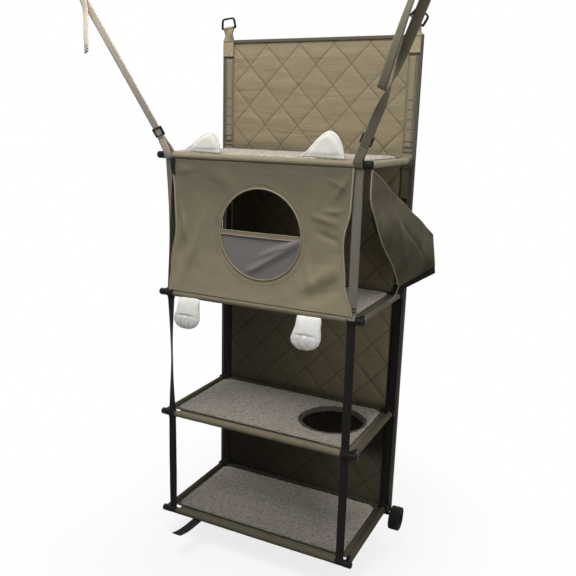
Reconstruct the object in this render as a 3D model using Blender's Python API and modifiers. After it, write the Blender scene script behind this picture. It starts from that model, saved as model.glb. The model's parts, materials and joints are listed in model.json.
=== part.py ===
"""Hanging fabric cat tree, in metres, +Z up.

The origin is the middle of the line through the two hang rings, where hooks bear.
The shelves' fronts face -Y, and the quilted back panel closes the +Y side.
"""

import math

import bmesh
import bpy
from mathutils import Matrix, Vector

NAME = "hanging_cat_tree"
CUTTERS = "cutters"
SHARP_ANGLE = math.radians(40)

# Cloth, webbing and clearances
GAP = 0.0004
FABRIC = 0.0015
WELD = 0.00001

# Shelves: rod axes, drops below the hang line
SHELF_WIDTH = 0.520
SHELF_REACH = 0.284
SHELF_DROPS = (0.350, 0.688, 1.011, 1.292)
ROD_RADIUS = 0.006
ROD_WALL = 0.001
DECK_THICK = 0.003
MAT_THICK = 0.008
MAT_EDGE = 0.002
MAT_INSET = 0.016
MAT_CORNER = 0.022
CORNER_WALL = 0.0021
CORNER_ARM = 0.024
ARM_STEP = 0.0002
CORNER_END = 0.014
CORNER_DOME = 0.004
DOME_STEPS = 3
SLEEVE_END_GAP = 0.004

# Pass-through hole of the third shelf
HOLE_SHELF = 2
HOLE_RADIUS = 0.080
HOLE_SIDE_MARGIN = 0.0265
HOLE_BACK_SHIFT = 0.005
RIM_WALL = 0.0035

# Back panel and its quilting
PANEL_OVERHANG = 0.013
PANEL_TOP_DROP = 0.057
PANEL_BELOW_SHELF = 0.014
PANEL_THICK = 0.008
PUFF = 0.007
DIAMOND_WIDTH = 0.096
DIAMOND_HEIGHT = 0.102
QUILT_STEPS = 2
QUILT_TOP_MARGIN = 0.022

# Webbing
BAND_WIDTH = 0.030
BAND_EDGE = 0.002
STRAP_WIDTH = 0.020
STRAP_SPLAY = {"left": math.radians(22.2), "right": math.radians(27.4)}
STRAP_LEAN = math.radians(20.9)
STRAP_RUN = 0.420
SEWN_LENGTH = 0.035
EYE_RADIUS = 0.012
EYE_NECK = 0.030
PATCH_HEIGHT = 0.042

# Free tails of the upper straps, as steps along the run, across it and off its face
TAILS = {
    "left": ((0.372, 0.0, -0.005), (0.345, -0.010, -0.016), (0.310, -0.025, -0.030)),
    "right": ((0.360, -0.022, -0.006), (0.260, -0.014, -0.007), (0.160, -0.003, -0.006)),
}

# Hang rings and strap sliders
RING_WIRE = 0.0022
RING_HEIGHT = 0.024
RING_TOP_WIDTH = 0.026
RING_CORNER = 0.007
RING_LOW_CORNER = 0.0024
SLIDER_HALF_LENGTH = 0.011
SLIDER_BAR = 0.003
SLIDER_SKIN = 0.0016

# House front, door and side cloth
FRONT_SET = 0.005
FRONT_WIDER_LOW = 0.012
FRONT_PINCH = 0.022
FOLD_DEPTH = 0.003
DOOR_RADIUS = 0.105
DOOR_X = 0.010
DOOR_RIM = 0.006
MESH_THICK = 0.001
MESH_SEAM = 0.008
FRONT_ACROSS = 8
FRONT_DOWN = 6
FRONT_SHARES = (0.0, 0.25, 0.6, 1.0)
SIDE_STEPS = 6

# Open side flap's near edge below its tie, and its far edge: past the side rod's axis, behind the front
# rod's and above it
FLAP_NEAR = ((0.012, -0.006, -0.070), (0.0165, 0.015, -0.111), (0.0185, 0.051, -0.157),
             (0.019, 0.099, -0.198), (0.019, 0.161, -0.243), (0.019, 0.216, -0.300))
FLAP_FAR_TOP = (0.083, 0.256, -0.170)
FLAP_FAR_LOW = (0.092, 0.264, -0.2485)
FLAP_FOLD = 0.008
FLAP_STEPS = 8

# Ears and paws
EARS = {
    "left": {"x": -0.151, "half": 0.052, "peak": (0.025, 0.050), "outer": (0.052, 0.050),
             "inner": (-0.007, 0.043)},
    "right": {"x": 0.156, "half": 0.053, "peak": (0.012, 0.060), "outer": (0.043, 0.061),
              "inner": (-0.018, 0.048)},
}
EAR_STEPS = 8
EAR_THICK = 0.007
EAR_EDGE = 0.002
PAW_LENGTH = 0.082
PAW_LEAN = -0.012
PAW_SEAM_DROP = 0.003
PAW_SQUARENESS = 0.8
PAW_PLACES = {"left": -0.180, "right": 0.1435}
PAW_SECTIONS = ((0.0, 0.031, 0.0020), (0.12, 0.033, 0.0048), (0.30, 0.034, 0.0072), (0.50, 0.037, 0.0088),
                (0.68, 0.0385, 0.0094), (0.82, 0.035, 0.0088), (0.93, 0.026, 0.0064), (1.0, 0.012, 0.0026))
PAW_SIDES = 20
TOES = 3
TOE_GROOVE = 0.45

# Loose straps at the bottom
TIE_WIDTH = 0.025
TIE_THICK = 0.002
TIE_X = -0.165
TIE_SEWN = (0.060, 0.034)
TIE_PASS = (0.012, -0.012)
TIE_FREE = ((-0.040, 0.003, -0.004), (-0.062, 0.004, -0.008), (-0.080, 0.001, -0.012))
ROLL_INNER = 0.014
ROLL_PITCH = 0.0036
ROLL_TURNS = 5
ROLL_STEPS = 16
ROLL_LEAD = (0.35, 0.75)
ROLL_OUT = 0.044
ROLL_FRONT = 0.036

# Colour, roughness and metallic value of each finish
LOOKS = {
    "olive": ((0.19, 0.175, 0.115), 0.85, 0.0),
    "quilt": ((0.225, 0.19, 0.115), 0.8, 0.0),
    "webbing": ((0.16, 0.15, 0.12), 0.8, 0.0),
    "pale_webbing": ((0.42, 0.36, 0.26), 0.8, 0.0),
    "fleece": ((0.26, 0.22, 0.19), 0.95, 0.0),
    "felt": ((0.72, 0.70, 0.64), 0.95, 0.0),
    "mesh": ((0.04, 0.04, 0.045), 0.7, 0.0),
    "black_webbing": ((0.012, 0.012, 0.012), 0.8, 0.0),
    "black_plastic": ((0.01, 0.01, 0.01), 0.45, 0.0),
    "steel": ((0.5, 0.5, 0.5), 0.35, 1.0),
    "black_wire": ((0.01, 0.01, 0.01), 0.4, 0.6),
}

# Places that follow from the sizes above
SIDES = {"left": -1, "right": 1}
SIDE_X = SHELF_WIDTH / 2
SLEEVE_RADIUS = ROD_RADIUS + GAP + FABRIC
BORE_RADIUS = ROD_RADIUS + GAP
CORNER_RADIUS = BORE_RADIUS + CORNER_WALL
HOLE_CUT = HOLE_RADIUS + RIM_WALL + GAP
HOLE_CENTRE = (SIDE_X - HOLE_SIDE_MARGIN - RIM_WALL - HOLE_RADIUS, HOLE_BACK_SHIFT - SHELF_REACH / 2)
PANEL_HALF = SIDE_X + PANEL_OVERHANG
BAND_OUT = PANEL_HALF - BAND_EDGE
BAND_IN = BAND_OUT - BAND_WIDTH
BAND_X = (BAND_OUT + BAND_IN) / 2
BAND_FRONT_Y = FABRIC + GAP
PANEL_FACE_Y = BAND_FRONT_Y + FABRIC + GAP
PANEL_BACK_Y = PANEL_FACE_Y + PANEL_THICK
HINGE_Y = PANEL_FACE_Y - PUFF - SLEEVE_RADIUS - 2 * GAP
SHELF_Z = [-drop for drop in SHELF_DROPS]
PANEL_TOP_Z = -PANEL_TOP_DROP
PANEL_LOW_Z = SHELF_Z[-1] - PANEL_BELOW_SHELF
CORNER_IN = SIDE_X - CORNER_RADIUS
STRAP_X = CORNER_IN - GAP - STRAP_WIDTH / 2
NOTCH_FRONT_X = STRAP_X - STRAP_WIDTH / 2 - GAP
NOTCH_REAR_X = BAND_IN - GAP
NOTCH_FRONT_Y = -SHELF_REACH + CORNER_ARM + GAP
NOTCH_REAR_Y = -SLEEVE_RADIUS - SLEEVE_END_GAP
HOUSE_TOP_Z = SHELF_Z[0]
HOUSE_LOW_Z = SHELF_Z[1]
DOOR_Z = (HOUSE_TOP_Z + HOUSE_LOW_Z) / 2
FRONT_HALF_TOP = NOTCH_FRONT_X - GAP
LOOP_RISE = CORNER_RADIUS + 3 * FABRIC
LOOP_NECK = BORE_RADIUS - FABRIC / 2
RING_BORE = RING_WIRE + GAP
RING_BAR_Z = -RING_HEIGHT - RING_WIRE
FLAP_TAB = Vector((SIDE_X + CORNER_END - CORNER_DOME, 0, -CORNER_RADIUS - GAP))

# Turns a flat outline's X, Y and depth into the part's axes
PLANES = {
    "YZ": Matrix(((0, 0, 1, 0), (1, 0, 0, 0), (0, 1, 0, 0), (0, 0, 0, 1))),
    "XZ": Matrix(((1, 0, 0, 0), (0, 0, -1, 0), (0, 1, 0, 0), (0, 0, 0, 1))),
}


def collection(name):
    """A new collection in the scene."""
    made = bpy.data.collections.new(name)
    bpy.context.scene.collection.children.link(made)
    return made


def paint(data, name, look):
    """Give a mesh or curve its own Principled material."""
    colour, roughness, metallic = LOOKS[look]
    material = bpy.data.materials.new(name)
    material.use_nodes = True
    inputs = material.node_tree.nodes["Principled BSDF"].inputs
    inputs["Base Color"].default_value = (*colour, 1)
    inputs["Roughness"].default_value = roughness
    inputs["Metallic"].default_value = metallic
    data.materials.append(material)


def place(name, data, look, matrix=Matrix.Identity(4), parent=None):
    """Add a named piece to the part, at a matrix in its parent's frame."""
    piece = bpy.data.objects.new(name, data)
    if isinstance(data, bpy.types.Mesh):
        data.shade_smooth()
        data.set_sharp_from_angle(angle=SHARP_ANGLE)
    paint(data, name, look)
    bpy.data.collections[NAME].objects.link(piece)
    piece.parent = parent
    piece.matrix_local = matrix
    return piece


def pivot(name, location, parent=None):
    """An empty on a joint's axis, which carries the pieces that move together."""
    empty = bpy.data.objects.new(name, None)
    bpy.data.collections[NAME].objects.link(empty)
    empty.parent = parent
    empty.location = location
    return empty


def at(x, y, z):
    """A move without a turn."""
    return Matrix.Translation((x, y, z))


def arc(centre, radius, start, end, steps):
    """Points on an arc, with angles in degrees."""
    angles = [math.radians(start + (end - start) * i / steps) for i in range(steps + 1)]
    return [(centre[0] + radius * math.cos(a), centre[1] + radius * math.sin(a)) for a in angles]


def circle(centre, radius, sides=16):
    """A closed round loop."""
    return arc(centre, radius, 0, 360, sides)[:-1]


def rounded(corners, radii, steps=4):
    """A closed loop with each corner of a polygon rounded to its own radius."""
    points = []
    for i, (corner, radius) in enumerate(zip(corners, radii)):
        here = Vector(corner)
        back = (Vector(corners[i - 1]) - here).normalized()
        ahead = (Vector(corners[(i + 1) % len(corners)]) - here).normalized()
        reach = radius / math.tan(back.angle(ahead) / 2)
        start, end = here + back * reach, here + ahead * reach
        for k in range(steps + 1):
            t = k / steps
            points.append((start * (1 - t) ** 2 + here * 2 * t * (1 - t) + end * t ** 2)[:])
    return points


def rectangle(x0, y0, x1, y1):
    """The corners of a rectangle."""
    return [(x0, y0), (x1, y0), (x1, y1), (x0, y1)]


def flat(name, loops, depth, edge=0.0):
    """A flat outline with holes, extruded to a depth, as a 2D curve. edge rounds its rims."""
    curve = bpy.data.curves.new(name, "CURVE")
    curve.dimensions = "2D"
    curve.fill_mode = "BOTH"
    curve.extrude = depth / 2 - edge
    curve.bevel_depth = edge
    curve.bevel_resolution = 1
    curve.offset = -edge
    for loop in loops:
        spline = curve.splines.new("POLY")
        spline.points.add(len(loop) - 1)
        for point, (u, v) in zip(spline.points, loop):
            point.co = (u, v, 0, 1)
        spline.use_cyclic_u = True
    return curve


def seat(radius, offset):
    """How far from a round's axis a cloth edge rests on it, at an offset from the middle."""
    return math.sqrt((radius + GAP) ** 2 - offset ** 2)


def finished(name, bm):
    """The mesh of a bmesh, which is freed."""
    mesh = bpy.data.meshes.new(name)
    bm.to_mesh(mesh)
    bm.free()
    return mesh


def baked(data, modifiers=()):
    """The evaluated mesh of a curve or mesh under a list of (type, settings)."""
    scratch = bpy.data.objects.new("scratch", data)
    bpy.data.collections[CUTTERS].objects.link(scratch)
    for kind, settings in modifiers:
        modifier = scratch.modifiers.new(kind, kind)
        for key, value in settings.items():
            setattr(modifier, key, value)
    graph = bpy.context.evaluated_depsgraph_get()
    bm = bmesh.new()
    bm.from_mesh(bpy.data.meshes.new_from_object(scratch.evaluated_get(graph)))
    bpy.data.objects.remove(scratch)
    bmesh.ops.remove_doubles(bm, verts=bm.verts, dist=WELD)
    return finished("baked", bm)


def combined(mesh, *steps):
    """A mesh after Boolean steps, each (operation, other mesh)."""
    for operation, other in steps:
        tool = bpy.data.objects.new("tool", other)
        bpy.data.collections[CUTTERS].objects.link(tool)
        tool.hide_render = True
        tool.display_type = "WIRE"
        mesh = baked(mesh, [("BOOLEAN", {"operation": operation, "object": tool, "solver": "EXACT"})])
        bpy.data.objects.remove(tool)
    return mesh


def rods(runs, radius, sides=16):
    """Plain round rods in one mesh, each from a start point to an end point."""
    bm = bmesh.new()
    for start, end in runs:
        span = Vector(end) - Vector(start)
        turn = span.to_track_quat("Z", "Y").to_matrix().to_4x4()
        middle = Matrix.Translation((Vector(start) + Vector(end)) / 2)
        bmesh.ops.create_cone(bm, cap_ends=True, segments=sides, radius1=radius, radius2=radius,
                              depth=span.length, matrix=middle @ turn)
    return finished("rods", bm)


def blocks(*boxes):
    """Boxes in one mesh, each between a low and a high corner."""
    bm = bmesh.new()
    for low, high in boxes:
        size = [h - l for l, h in zip(low, high)]
        middle = [(h + l) / 2 for l, h in zip(low, high)]
        bmesh.ops.create_cube(bm, size=1, matrix=at(*middle) @ Matrix.Diagonal((*size, 1)))
    return finished("blocks", bm)


def turned(profile, sides=16):
    """A turned solid about Z from a profile of (radius, height), top to bottom."""
    mesh = bpy.data.meshes.new("profile")
    points = [(radius, 0, height) for radius, height in profile]
    mesh.from_pydata(points, [(i, i + 1) for i in range(len(points) - 1)], [])
    screw = {"steps": sides, "render_steps": sides, "use_merge_vertices": True, "merge_threshold": WELD}
    return baked(mesh, [("SCREW", screw)])


def loft(name, rings):
    """A closed skin through rings of points, capped at both ends."""
    bm = bmesh.new()
    loops = [[bm.verts.new(point) for point in ring] for ring in rings]
    for low, high in zip(loops, loops[1:]):
        for i, corner in enumerate(low):
            j = (i + 1) % len(low)
            bm.faces.new((corner, low[j], high[j], high[i]))
    bm.faces.new(loops[0])
    bm.faces.new(loops[-1])
    bmesh.ops.recalc_face_normals(bm, faces=bm.faces)
    return finished(name, bm)


def webbing(name, stations, width, thick):
    """Flat webbing through stations of (point, direction across its width)."""
    rings = []
    for i, (point, across) in enumerate(stations):
        ahead = stations[min(i + 1, len(stations) - 1)][0]
        behind = stations[max(i - 1, 0)][0]
        face = (ahead - behind).cross(across).normalized()
        half, skin = across.normalized() * width / 2, face * thick / 2
        rings.append([point - half - skin, point + half - skin, point + half + skin, point - half + skin])
    return loft(name, rings)


def cloth(name, rows, closed=False):
    """A sheet of cloth through rows of points. A closed sheet joins its rows into rings."""
    bm = bmesh.new()
    grid = [[bm.verts.new(point) for point in row] for row in rows]
    count = len(rows[0])
    for low, high in zip(grid, grid[1:]):
        for i in range(count if closed else count - 1):
            j = (i + 1) % count
            bm.faces.new((low[i], low[j], high[j], high[i]))
    bmesh.ops.recalc_face_normals(bm, faces=bm.faces)
    return baked(finished(name, bm), [("SOLIDIFY", {"thickness": FABRIC, "offset": 0})])


def quilt_height(u, v):
    """Height of the padding, where whole numbers of u and v are stitched channels."""
    return PUFF * abs(math.sin(math.pi * u) * math.sin(math.pi * v))


def back_panel():
    """The padded panel: diamond quilting inside a flat bound margin."""
    half_x = BAND_IN - 2 * FABRIC
    middle_z = (PANEL_TOP_Z + PANEL_LOW_Z) / 2
    half_z = (PANEL_TOP_Z - PANEL_LOW_Z) / 2
    quilt_z = half_z - QUILT_TOP_MARGIN
    cells = math.ceil(half_x / DIAMOND_WIDTH + half_z / DIAMOND_HEIGHT)
    bm = bmesh.new()
    squares = 2 * cells * QUILT_STEPS
    bmesh.ops.create_grid(bm, x_segments=squares, y_segments=squares, size=cells)
    for vert in bm.verts:
        u, v = vert.co.x, vert.co.y
        height = PANEL_FACE_Y - quilt_height(u, v)
        vert.co = ((u - v) * DIAMOND_WIDTH / 2, height, (u + v) * DIAMOND_HEIGHT / 2)
    for normal, reach in (((1, 0, 0), half_x), ((0, 0, 1), quilt_z)):
        for sign in (1, -1):
            out = Vector(normal) * sign
            bmesh.ops.bisect_plane(bm, geom=bm.verts[:] + bm.edges[:] + bm.faces[:], dist=WELD,
                                   plane_co=out * reach, plane_no=out, clear_outer=True)
    rim = [edge for edge in bm.edges if edge.is_boundary]
    for vert in {vert for edge in rim for vert in edge.verts}:
        vert.co.y = PANEL_FACE_Y
    stretch = Vector((PANEL_HALF / half_x, 1, half_z / quilt_z))
    for edge_move in (lambda co: co * stretch, lambda co: Vector((co.x, PANEL_BACK_Y, co.z))):
        grown = bmesh.ops.extrude_edge_only(bm, edges=rim)["geom"]
        for vert in (item for item in grown if isinstance(item, bmesh.types.BMVert)):
            vert.co = edge_move(vert.co)
        rim = [item for item in grown if isinstance(item, bmesh.types.BMEdge) and item.is_boundary]
    bmesh.ops.contextual_create(bm, geom=rim)
    bmesh.ops.recalc_face_normals(bm, faces=bm.faces)
    place("back_panel", finished("back_panel", bm), "quilt", at(0, 0, middle_z))


def side_band(side):
    """Webbing down one margin, with a sewn loop round each shelf's rear rod."""
    neck = FABRIC
    spread = math.degrees(math.asin(neck / SLEEVE_RADIUS))
    face = BAND_FRONT_Y
    outline = [(face + FABRIC, PANEL_LOW_Z), (face + FABRIC, PANEL_TOP_Z), (face, PANEL_TOP_Z)]
    for z in SHELF_Z:
        loop = arc((HINGE_Y, z), SLEEVE_RADIUS, spread, 360 - spread, 14)
        outline += [(face, z + neck)] + loop + [(face, z - neck)]
    outline.append((face, PANEL_LOW_Z))
    bores = [circle((HINGE_Y, z), BORE_RADIUS, 12) for z in SHELF_Z]
    band = flat("side_band_" + side, [outline] + bores, BAND_WIDTH)
    place(band.name, band, "olive", at(SIDES[side] * BAND_X, 0, 0) @ PLANES["YZ"])


def ring_tab(side):
    """Webbing folded over a hang ring's bar and box-stitched on the panel's corner."""
    outer = RING_BORE + FABRIC
    spread = math.degrees(math.asin(FABRIC / outer))
    low = PANEL_TOP_Z - PATCH_HEIGHT
    outline = [(-FABRIC, low), (FABRIC, low)]
    outline += arc((0, RING_BAR_Z), outer, spread - 90, 270 - spread, 12)
    bore = circle((0, RING_BAR_Z), RING_BORE, 10)
    tab = flat("ring_tab_" + side, [outline, bore], BAND_WIDTH)
    place(tab.name, tab, "pale_webbing", at(SIDES[side] * BAND_X, 0, 0) @ PLANES["YZ"])


def hang_ring(side):
    """A black wire ring, wide at the tab's bar and narrower where a hook bears."""
    low = BAND_WIDTH / 2 + 2 * GAP + RING_WIRE
    top = RING_TOP_WIDTH / 2 + RING_WIRE
    height = RING_HEIGHT + 2 * RING_WIRE
    corners = [(-low, 0), (low, 0), (top, height), (-top, height)]
    path = rounded(corners, (RING_LOW_CORNER, RING_LOW_CORNER, RING_CORNER, RING_CORNER), 3)
    curve = bpy.data.curves.new("hang_ring_" + side, "CURVE")
    curve.dimensions = "3D"
    curve.bevel_depth = RING_WIRE
    curve.bevel_resolution = 2
    spline = curve.splines.new("POLY")
    spline.points.add(len(path) - 1)
    for point, (x, z) in zip(spline.points, path):
        point.co = (x, 0, z, 1)
    spline.use_cyclic_u = True
    place(curve.name, curve, "black_wire", at(SIDES[side] * BAND_X, 0, RING_BAR_Z))


def deck_mesh(hole):
    """A shelf's canvas: a taut plate with a rod sleeve along each edge and open corners."""
    front, rear, half = -SHELF_REACH, 0.0, DECK_THICK / 2
    front_x, rear_x = NOTCH_FRONT_X - GAP, NOTCH_REAR_X - GAP
    front_y, rear_y = NOTCH_FRONT_Y + GAP, NOTCH_REAR_Y - GAP
    past = SLEEVE_RADIUS
    notches = []
    for sign in SIDES.values():
        for inner_x, y0, y1 in ((front_x, front - past, front_y), (rear_x, rear_y, rear + past)):
            x0, x1 = sorted((sign * inner_x, sign * (SIDE_X + past)))
            notches.append(((x0, y0, -past), (x1, y1, past)))
    sheet = blocks(((-SIDE_X, front, -half), (SIDE_X, rear, half)))
    plate = combined(sheet, ("DIFFERENCE", blocks(*notches)))
    runs = [((-NOTCH_FRONT_X, front, 0), (NOTCH_FRONT_X, front, 0)),
            ((-NOTCH_REAR_X, rear, 0), (NOTCH_REAR_X, rear, 0))]
    runs += [((x, NOTCH_FRONT_Y, 0), (x, NOTCH_REAR_Y, 0)) for x in (-SIDE_X, SIDE_X)]
    bores = []
    for start, end in runs:
        longer = (Vector(end) - Vector(start)).normalized() * FABRIC
        bores.append((Vector(start) - longer, Vector(end) + longer))
    steps = [("UNION", rods(runs, SLEEVE_RADIUS)), ("DIFFERENCE", rods(bores, BORE_RADIUS, 12))]
    if hole:
        hole_run = ((*HOLE_CENTRE, -MAT_THICK), (*HOLE_CENTRE, MAT_THICK))
        steps.append(("DIFFERENCE", rods([hole_run], HOLE_CUT, 40)))
    return combined(plate, *steps)


def mat_curve(name, hole):
    """A fleece mat with round corners, inside the rods."""
    x = SIDE_X - MAT_INSET
    low, high = -SHELF_REACH + MAT_INSET, -MAT_INSET
    loops = [rounded(rectangle(-x, low, x, high), [MAT_CORNER] * 4)]
    if hole:
        loops.append(circle(HOLE_CENTRE, HOLE_CUT, 40))
    return flat(name, loops, MAT_THICK, MAT_EDGE)


def rod_tube(name, length):
    """A steel tube, centred on its own middle, along the outline's depth."""
    loops = [circle((0, 0), ROD_RADIUS, 12), circle((0, 0), ROD_RADIUS - ROD_WALL, 8)]
    return flat(name, loops, length)


def corner_mesh(sign):
    """A front corner fitting: sockets for the front and side rods, and a round outer end."""
    length = CORNER_END + CORNER_RADIUS
    profile = []
    for step in range(DOME_STEPS + 1):
        angle = math.pi / 2 * step / DOME_STEPS
        profile.append((CORNER_RADIUS * math.sin(angle), length - CORNER_DOME * (1 - math.cos(angle))))
    barrel = turned(profile + [(CORNER_RADIUS, 0), (0, 0)])
    barrel.transform(at(sign * CORNER_IN, 0, 0) @ Matrix.Rotation(sign * math.pi / 2, 4, "Y"))
    x = sign * SIDE_X
    arm = rods([((x, 0, 0), (x, CORNER_ARM, 0))], CORNER_RADIUS - ARM_STEP)
    front_bore = rods([((sign * (CORNER_IN - GAP), 0, 0), (x, 0, 0))], BORE_RADIUS, 12)
    side_bore = rods([((x, CORNER_RADIUS + GAP, 0), (x, CORNER_ARM + GAP, 0))], BORE_RADIUS, 12)
    return combined(barrel, ("UNION", arm), ("DIFFERENCE", front_bore), ("DIFFERENCE", side_bore))


def shelf(index, corners):
    """One shelf on its hinge line: deck, mat, rods and front corner fittings."""
    number = index + 1
    tag = f"shelf_{number}_"
    hinge = pivot(tag + "hinge", (0, HINGE_Y, SHELF_Z[index]))
    hole = index == HOLE_SHELF
    place(tag + "deck", deck_mesh(hole), "olive", parent=hinge)
    mat_z = DECK_THICK / 2 + GAP + MAT_THICK / 2
    place(tag + "mat", mat_curve(tag + "mat", hole), "fleece", at(0, 0, mat_z), hinge)
    front_half = SIDE_X - 2 * GAP
    rear_half = BAND_OUT + GAP
    long_runs = (("front_rod", front_half, -SHELF_REACH), ("rear_rod", rear_half, 0.0))
    for part, half, y in long_runs:
        place(tag + part, rod_tube(tag + part, 2 * half), "steel", at(0, y, 0) @ PLANES["YZ"], hinge)
    side_front = -SHELF_REACH + CORNER_RADIUS + 2 * GAP
    side_rear = -SLEEVE_RADIUS - 2 * GAP
    for side, sign in SIDES.items():
        rod = rod_tube(tag + "side_rod_" + side, side_rear - side_front)
        middle = at(sign * SIDE_X, (side_front + side_rear) / 2, 0)
        place(rod.name, rod, "steel", middle @ PLANES["XZ"], hinge)
        fitting = corners[side].copy()
        place(tag + "corner_" + side, fitting, "black_plastic", at(0, -SHELF_REACH, 0), hinge)
    return hinge


def hole_rim(hinge):
    """Binding round the pass-through hole, over the cut edges of deck and mat."""
    loops = [circle(HOLE_CENTRE, HOLE_RADIUS + RIM_WALL, 40), circle(HOLE_CENTRE, HOLE_RADIUS, 40)]
    depth = DECK_THICK + MAT_THICK + 2 * FABRIC
    rim = flat("hole_rim", loops, depth)
    place(rim.name, rim, "olive", at(0, 0, depth / 2 - DECK_THICK / 2 - FABRIC / 2), hinge)


def front_strap(side, carrier):
    """Webbing down a front corner, sewn under the upper strap, looped round the lower front rods."""
    half = FABRIC / 2
    spread = math.degrees(math.asin(half / SLEEVE_RADIUS))
    drops = [z - SHELF_Z[0] for z in SHELF_Z[1:]]
    top = -SLEEVE_RADIUS - GAP
    front_side, back_side = [(-half, top)], [(half, top)]
    for z in drops[:-1]:
        front_side += arc((0, z), SLEEVE_RADIUS, 90 + spread, 270 - spread, 7)
        back_side += arc((0, z), SLEEVE_RADIUS, 90 - spread, spread - 90, 7)
    foot = arc((0, drops[-1]), SLEEVE_RADIUS, 90 + spread, 450 - spread, 14)
    bores = [circle((0, z), BORE_RADIUS, 12) for z in drops]
    strap = flat("front_strap_" + side, [front_side + foot + back_side[::-1]] + bores, STRAP_WIDTH)
    place(strap.name, strap, "webbing", at(SIDES[side] * STRAP_X, 0, 0) @ PLANES["YZ"], carrier)


def run_axes(side):
    """Directions of an upper strap: along its run, across it and off its face."""
    along = Vector((SIDES[side] * math.tan(STRAP_SPLAY[side]), -math.tan(STRAP_LEAN), 1)).normalized()
    across = (Vector((1, 0, 0)) - along * along.x).normalized()
    return along, across, along.cross(across)


def run_start(side):
    """Where an upper strap's run begins, clear above the corner fitting."""
    off = run_axes(side)[2]
    return Vector((SIDES[side] * STRAP_X, 0, 0)) + Vector((0, -off.z, off.y)) * LOOP_RISE


def upper_strap(side, carrier):
    """Webbing from the top shelf's front rod to an eye for a hook, with a free tail."""
    along, across, off = run_axes(side)
    rod = Vector((SIDES[side] * STRAP_X, 0, 0))
    start = run_start(side)
    layer = FABRIC / 2 + GAP
    level = Vector((1, 0, 0))
    up = Vector((0, -off.z, off.y))
    loop_radius = BORE_RADIUS + FABRIC / 2

    def on_run(distance, sideways, lift):
        return start + along * distance + across * sideways + off * lift

    stations = [(on_run(SEWN_LENGTH, 0, -layer), across), (start - off * LOOP_NECK, level)]
    for c, s in arc((0, 0), loop_radius, 180, 360, 8):
        stations.append((rod + off * c + up * s, level))
    stations += [(start + off * LOOP_NECK, level), (on_run(SEWN_LENGTH, 0, layer), across)]
    stations.append((on_run(STRAP_RUN - EYE_NECK, 0, layer), across))
    for c, s in arc((0, 0), EYE_RADIUS, 0, 180, 8):
        stations.append((on_run(STRAP_RUN + s, 0, c), across))
    stations.append((on_run(STRAP_RUN - EYE_NECK, 0, -layer), across))
    stations += [(on_run(*step), across) for step in TAILS[side]]
    strap = webbing("upper_strap_" + side, stations, STRAP_WIDTH, FABRIC)
    place(strap.name, strap, "pale_webbing", parent=carrier)


def slider_mesh():
    """A strap slider: end bars over the webbing and a middle bar under it."""
    wide, long = STRAP_WIDTH / 2 + GAP, SLIDER_HALF_LENGTH
    slot = FABRIC / 2 + GAP
    thick = slot + SLIDER_SKIN
    past = long + SLIDER_BAR
    body = blocks(((-wide - SLIDER_BAR, -long, -thick), (wide + SLIDER_BAR, long, thick)))
    tunnel = blocks(((-wide, -past, -slot), (wide, past, slot)))
    window = blocks(((-wide, SLIDER_BAR - long, 0), (wide, long - SLIDER_BAR, past)))
    cuts = [("DIFFERENCE", tunnel), ("DIFFERENCE", window)]
    for sign in (-1, 1):
        y0, y1 = sorted((sign * SLIDER_BAR / 2, sign * past))
        cuts.append(("DIFFERENCE", blocks(((-wide, y0, -past), (wide, y1, 0)))))
    return combined(body, *cuts)


def strap_slider(side, carrier):
    """The slider on one upper strap, resting on the sewn loop's end."""
    along, across, off = run_axes(side)
    centre = run_start(side) + along * (SEWN_LENGTH + SLIDER_HALF_LENGTH + GAP) + off * (FABRIC / 2 + GAP)
    turn = Matrix((across, along, across.cross(along))).transposed().to_4x4()
    place("strap_slider_" + side, slider_mesh(), "black_plastic", at(*centre) @ turn, carrier)


def front_panel(carrier):
    """The house front: canvas drawn in at the sides, with a round door."""
    rest = seat(SLEEVE_RADIUS, FRONT_SET - FABRIC / 2)
    top = -rest
    low = HOUSE_LOW_Z - HOUSE_TOP_Z + rest
    door = Vector((DOOR_X, DOOR_Z - HOUSE_TOP_Z))

    def edge_point(t, x_share):
        half = FRONT_HALF_TOP + FRONT_WIDER_LOW * t - FRONT_PINCH * 4 * t * (1 - t)
        return Vector((x_share * half, top + (low - top) * t))

    border = [edge_point(0, 2 * i / FRONT_ACROSS - 1) for i in range(FRONT_ACROSS)]
    border += [edge_point(i / FRONT_DOWN, 1) for i in range(FRONT_DOWN)]
    border += [edge_point(1, 1 - 2 * i / FRONT_ACROSS) for i in range(FRONT_ACROSS)]
    border += [edge_point(1 - i / FRONT_DOWN, -1) for i in range(FRONT_DOWN)]
    rows = []
    for share in FRONT_SHARES:
        row = []
        for point in border:
            spoke = point - door
            flat_point = door + spoke.normalized() * DOOR_RADIUS * (1 - share) + spoke * share
            corner = math.sin(2 * math.atan2(spoke.y, spoke.x)) ** 2
            lift = FOLD_DEPTH * math.sin(math.pi * share ** 2) * corner
            row.append((flat_point.x, -FRONT_SET - lift, flat_point.y))
        rows.append(row)
    place("front_panel", cloth("front_panel", rows, closed=True), "olive", parent=carrier)


def door_pieces(carrier):
    """The door's binding, and the mesh pocket over its lower half."""
    centre = (0, 0)
    loops = [circle(centre, DOOR_RADIUS + DOOR_RIM / 2, 40), circle(centre, DOOR_RADIUS - DOOR_RIM / 2, 40)]
    rim = flat("door_rim", loops, FABRIC)
    door_z = DOOR_Z - HOUSE_TOP_Z
    rim_y = -FRONT_SET - FABRIC - 2 * GAP
    place(rim.name, rim, "olive", at(DOOR_X, rim_y, door_z) @ PLANES["XZ"], carrier)
    pocket = arc(centre, DOOR_RADIUS + MESH_SEAM, 180, 360, 24)
    mesh_y = -FRONT_SET + FABRIC / 2 + 2 * GAP + MESH_THICK / 2
    mesh = flat("door_mesh", [pocket], MESH_THICK)
    place(mesh.name, mesh, "mesh", at(DOOR_X, mesh_y, door_z) @ PLANES["XZ"], carrier)


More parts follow.
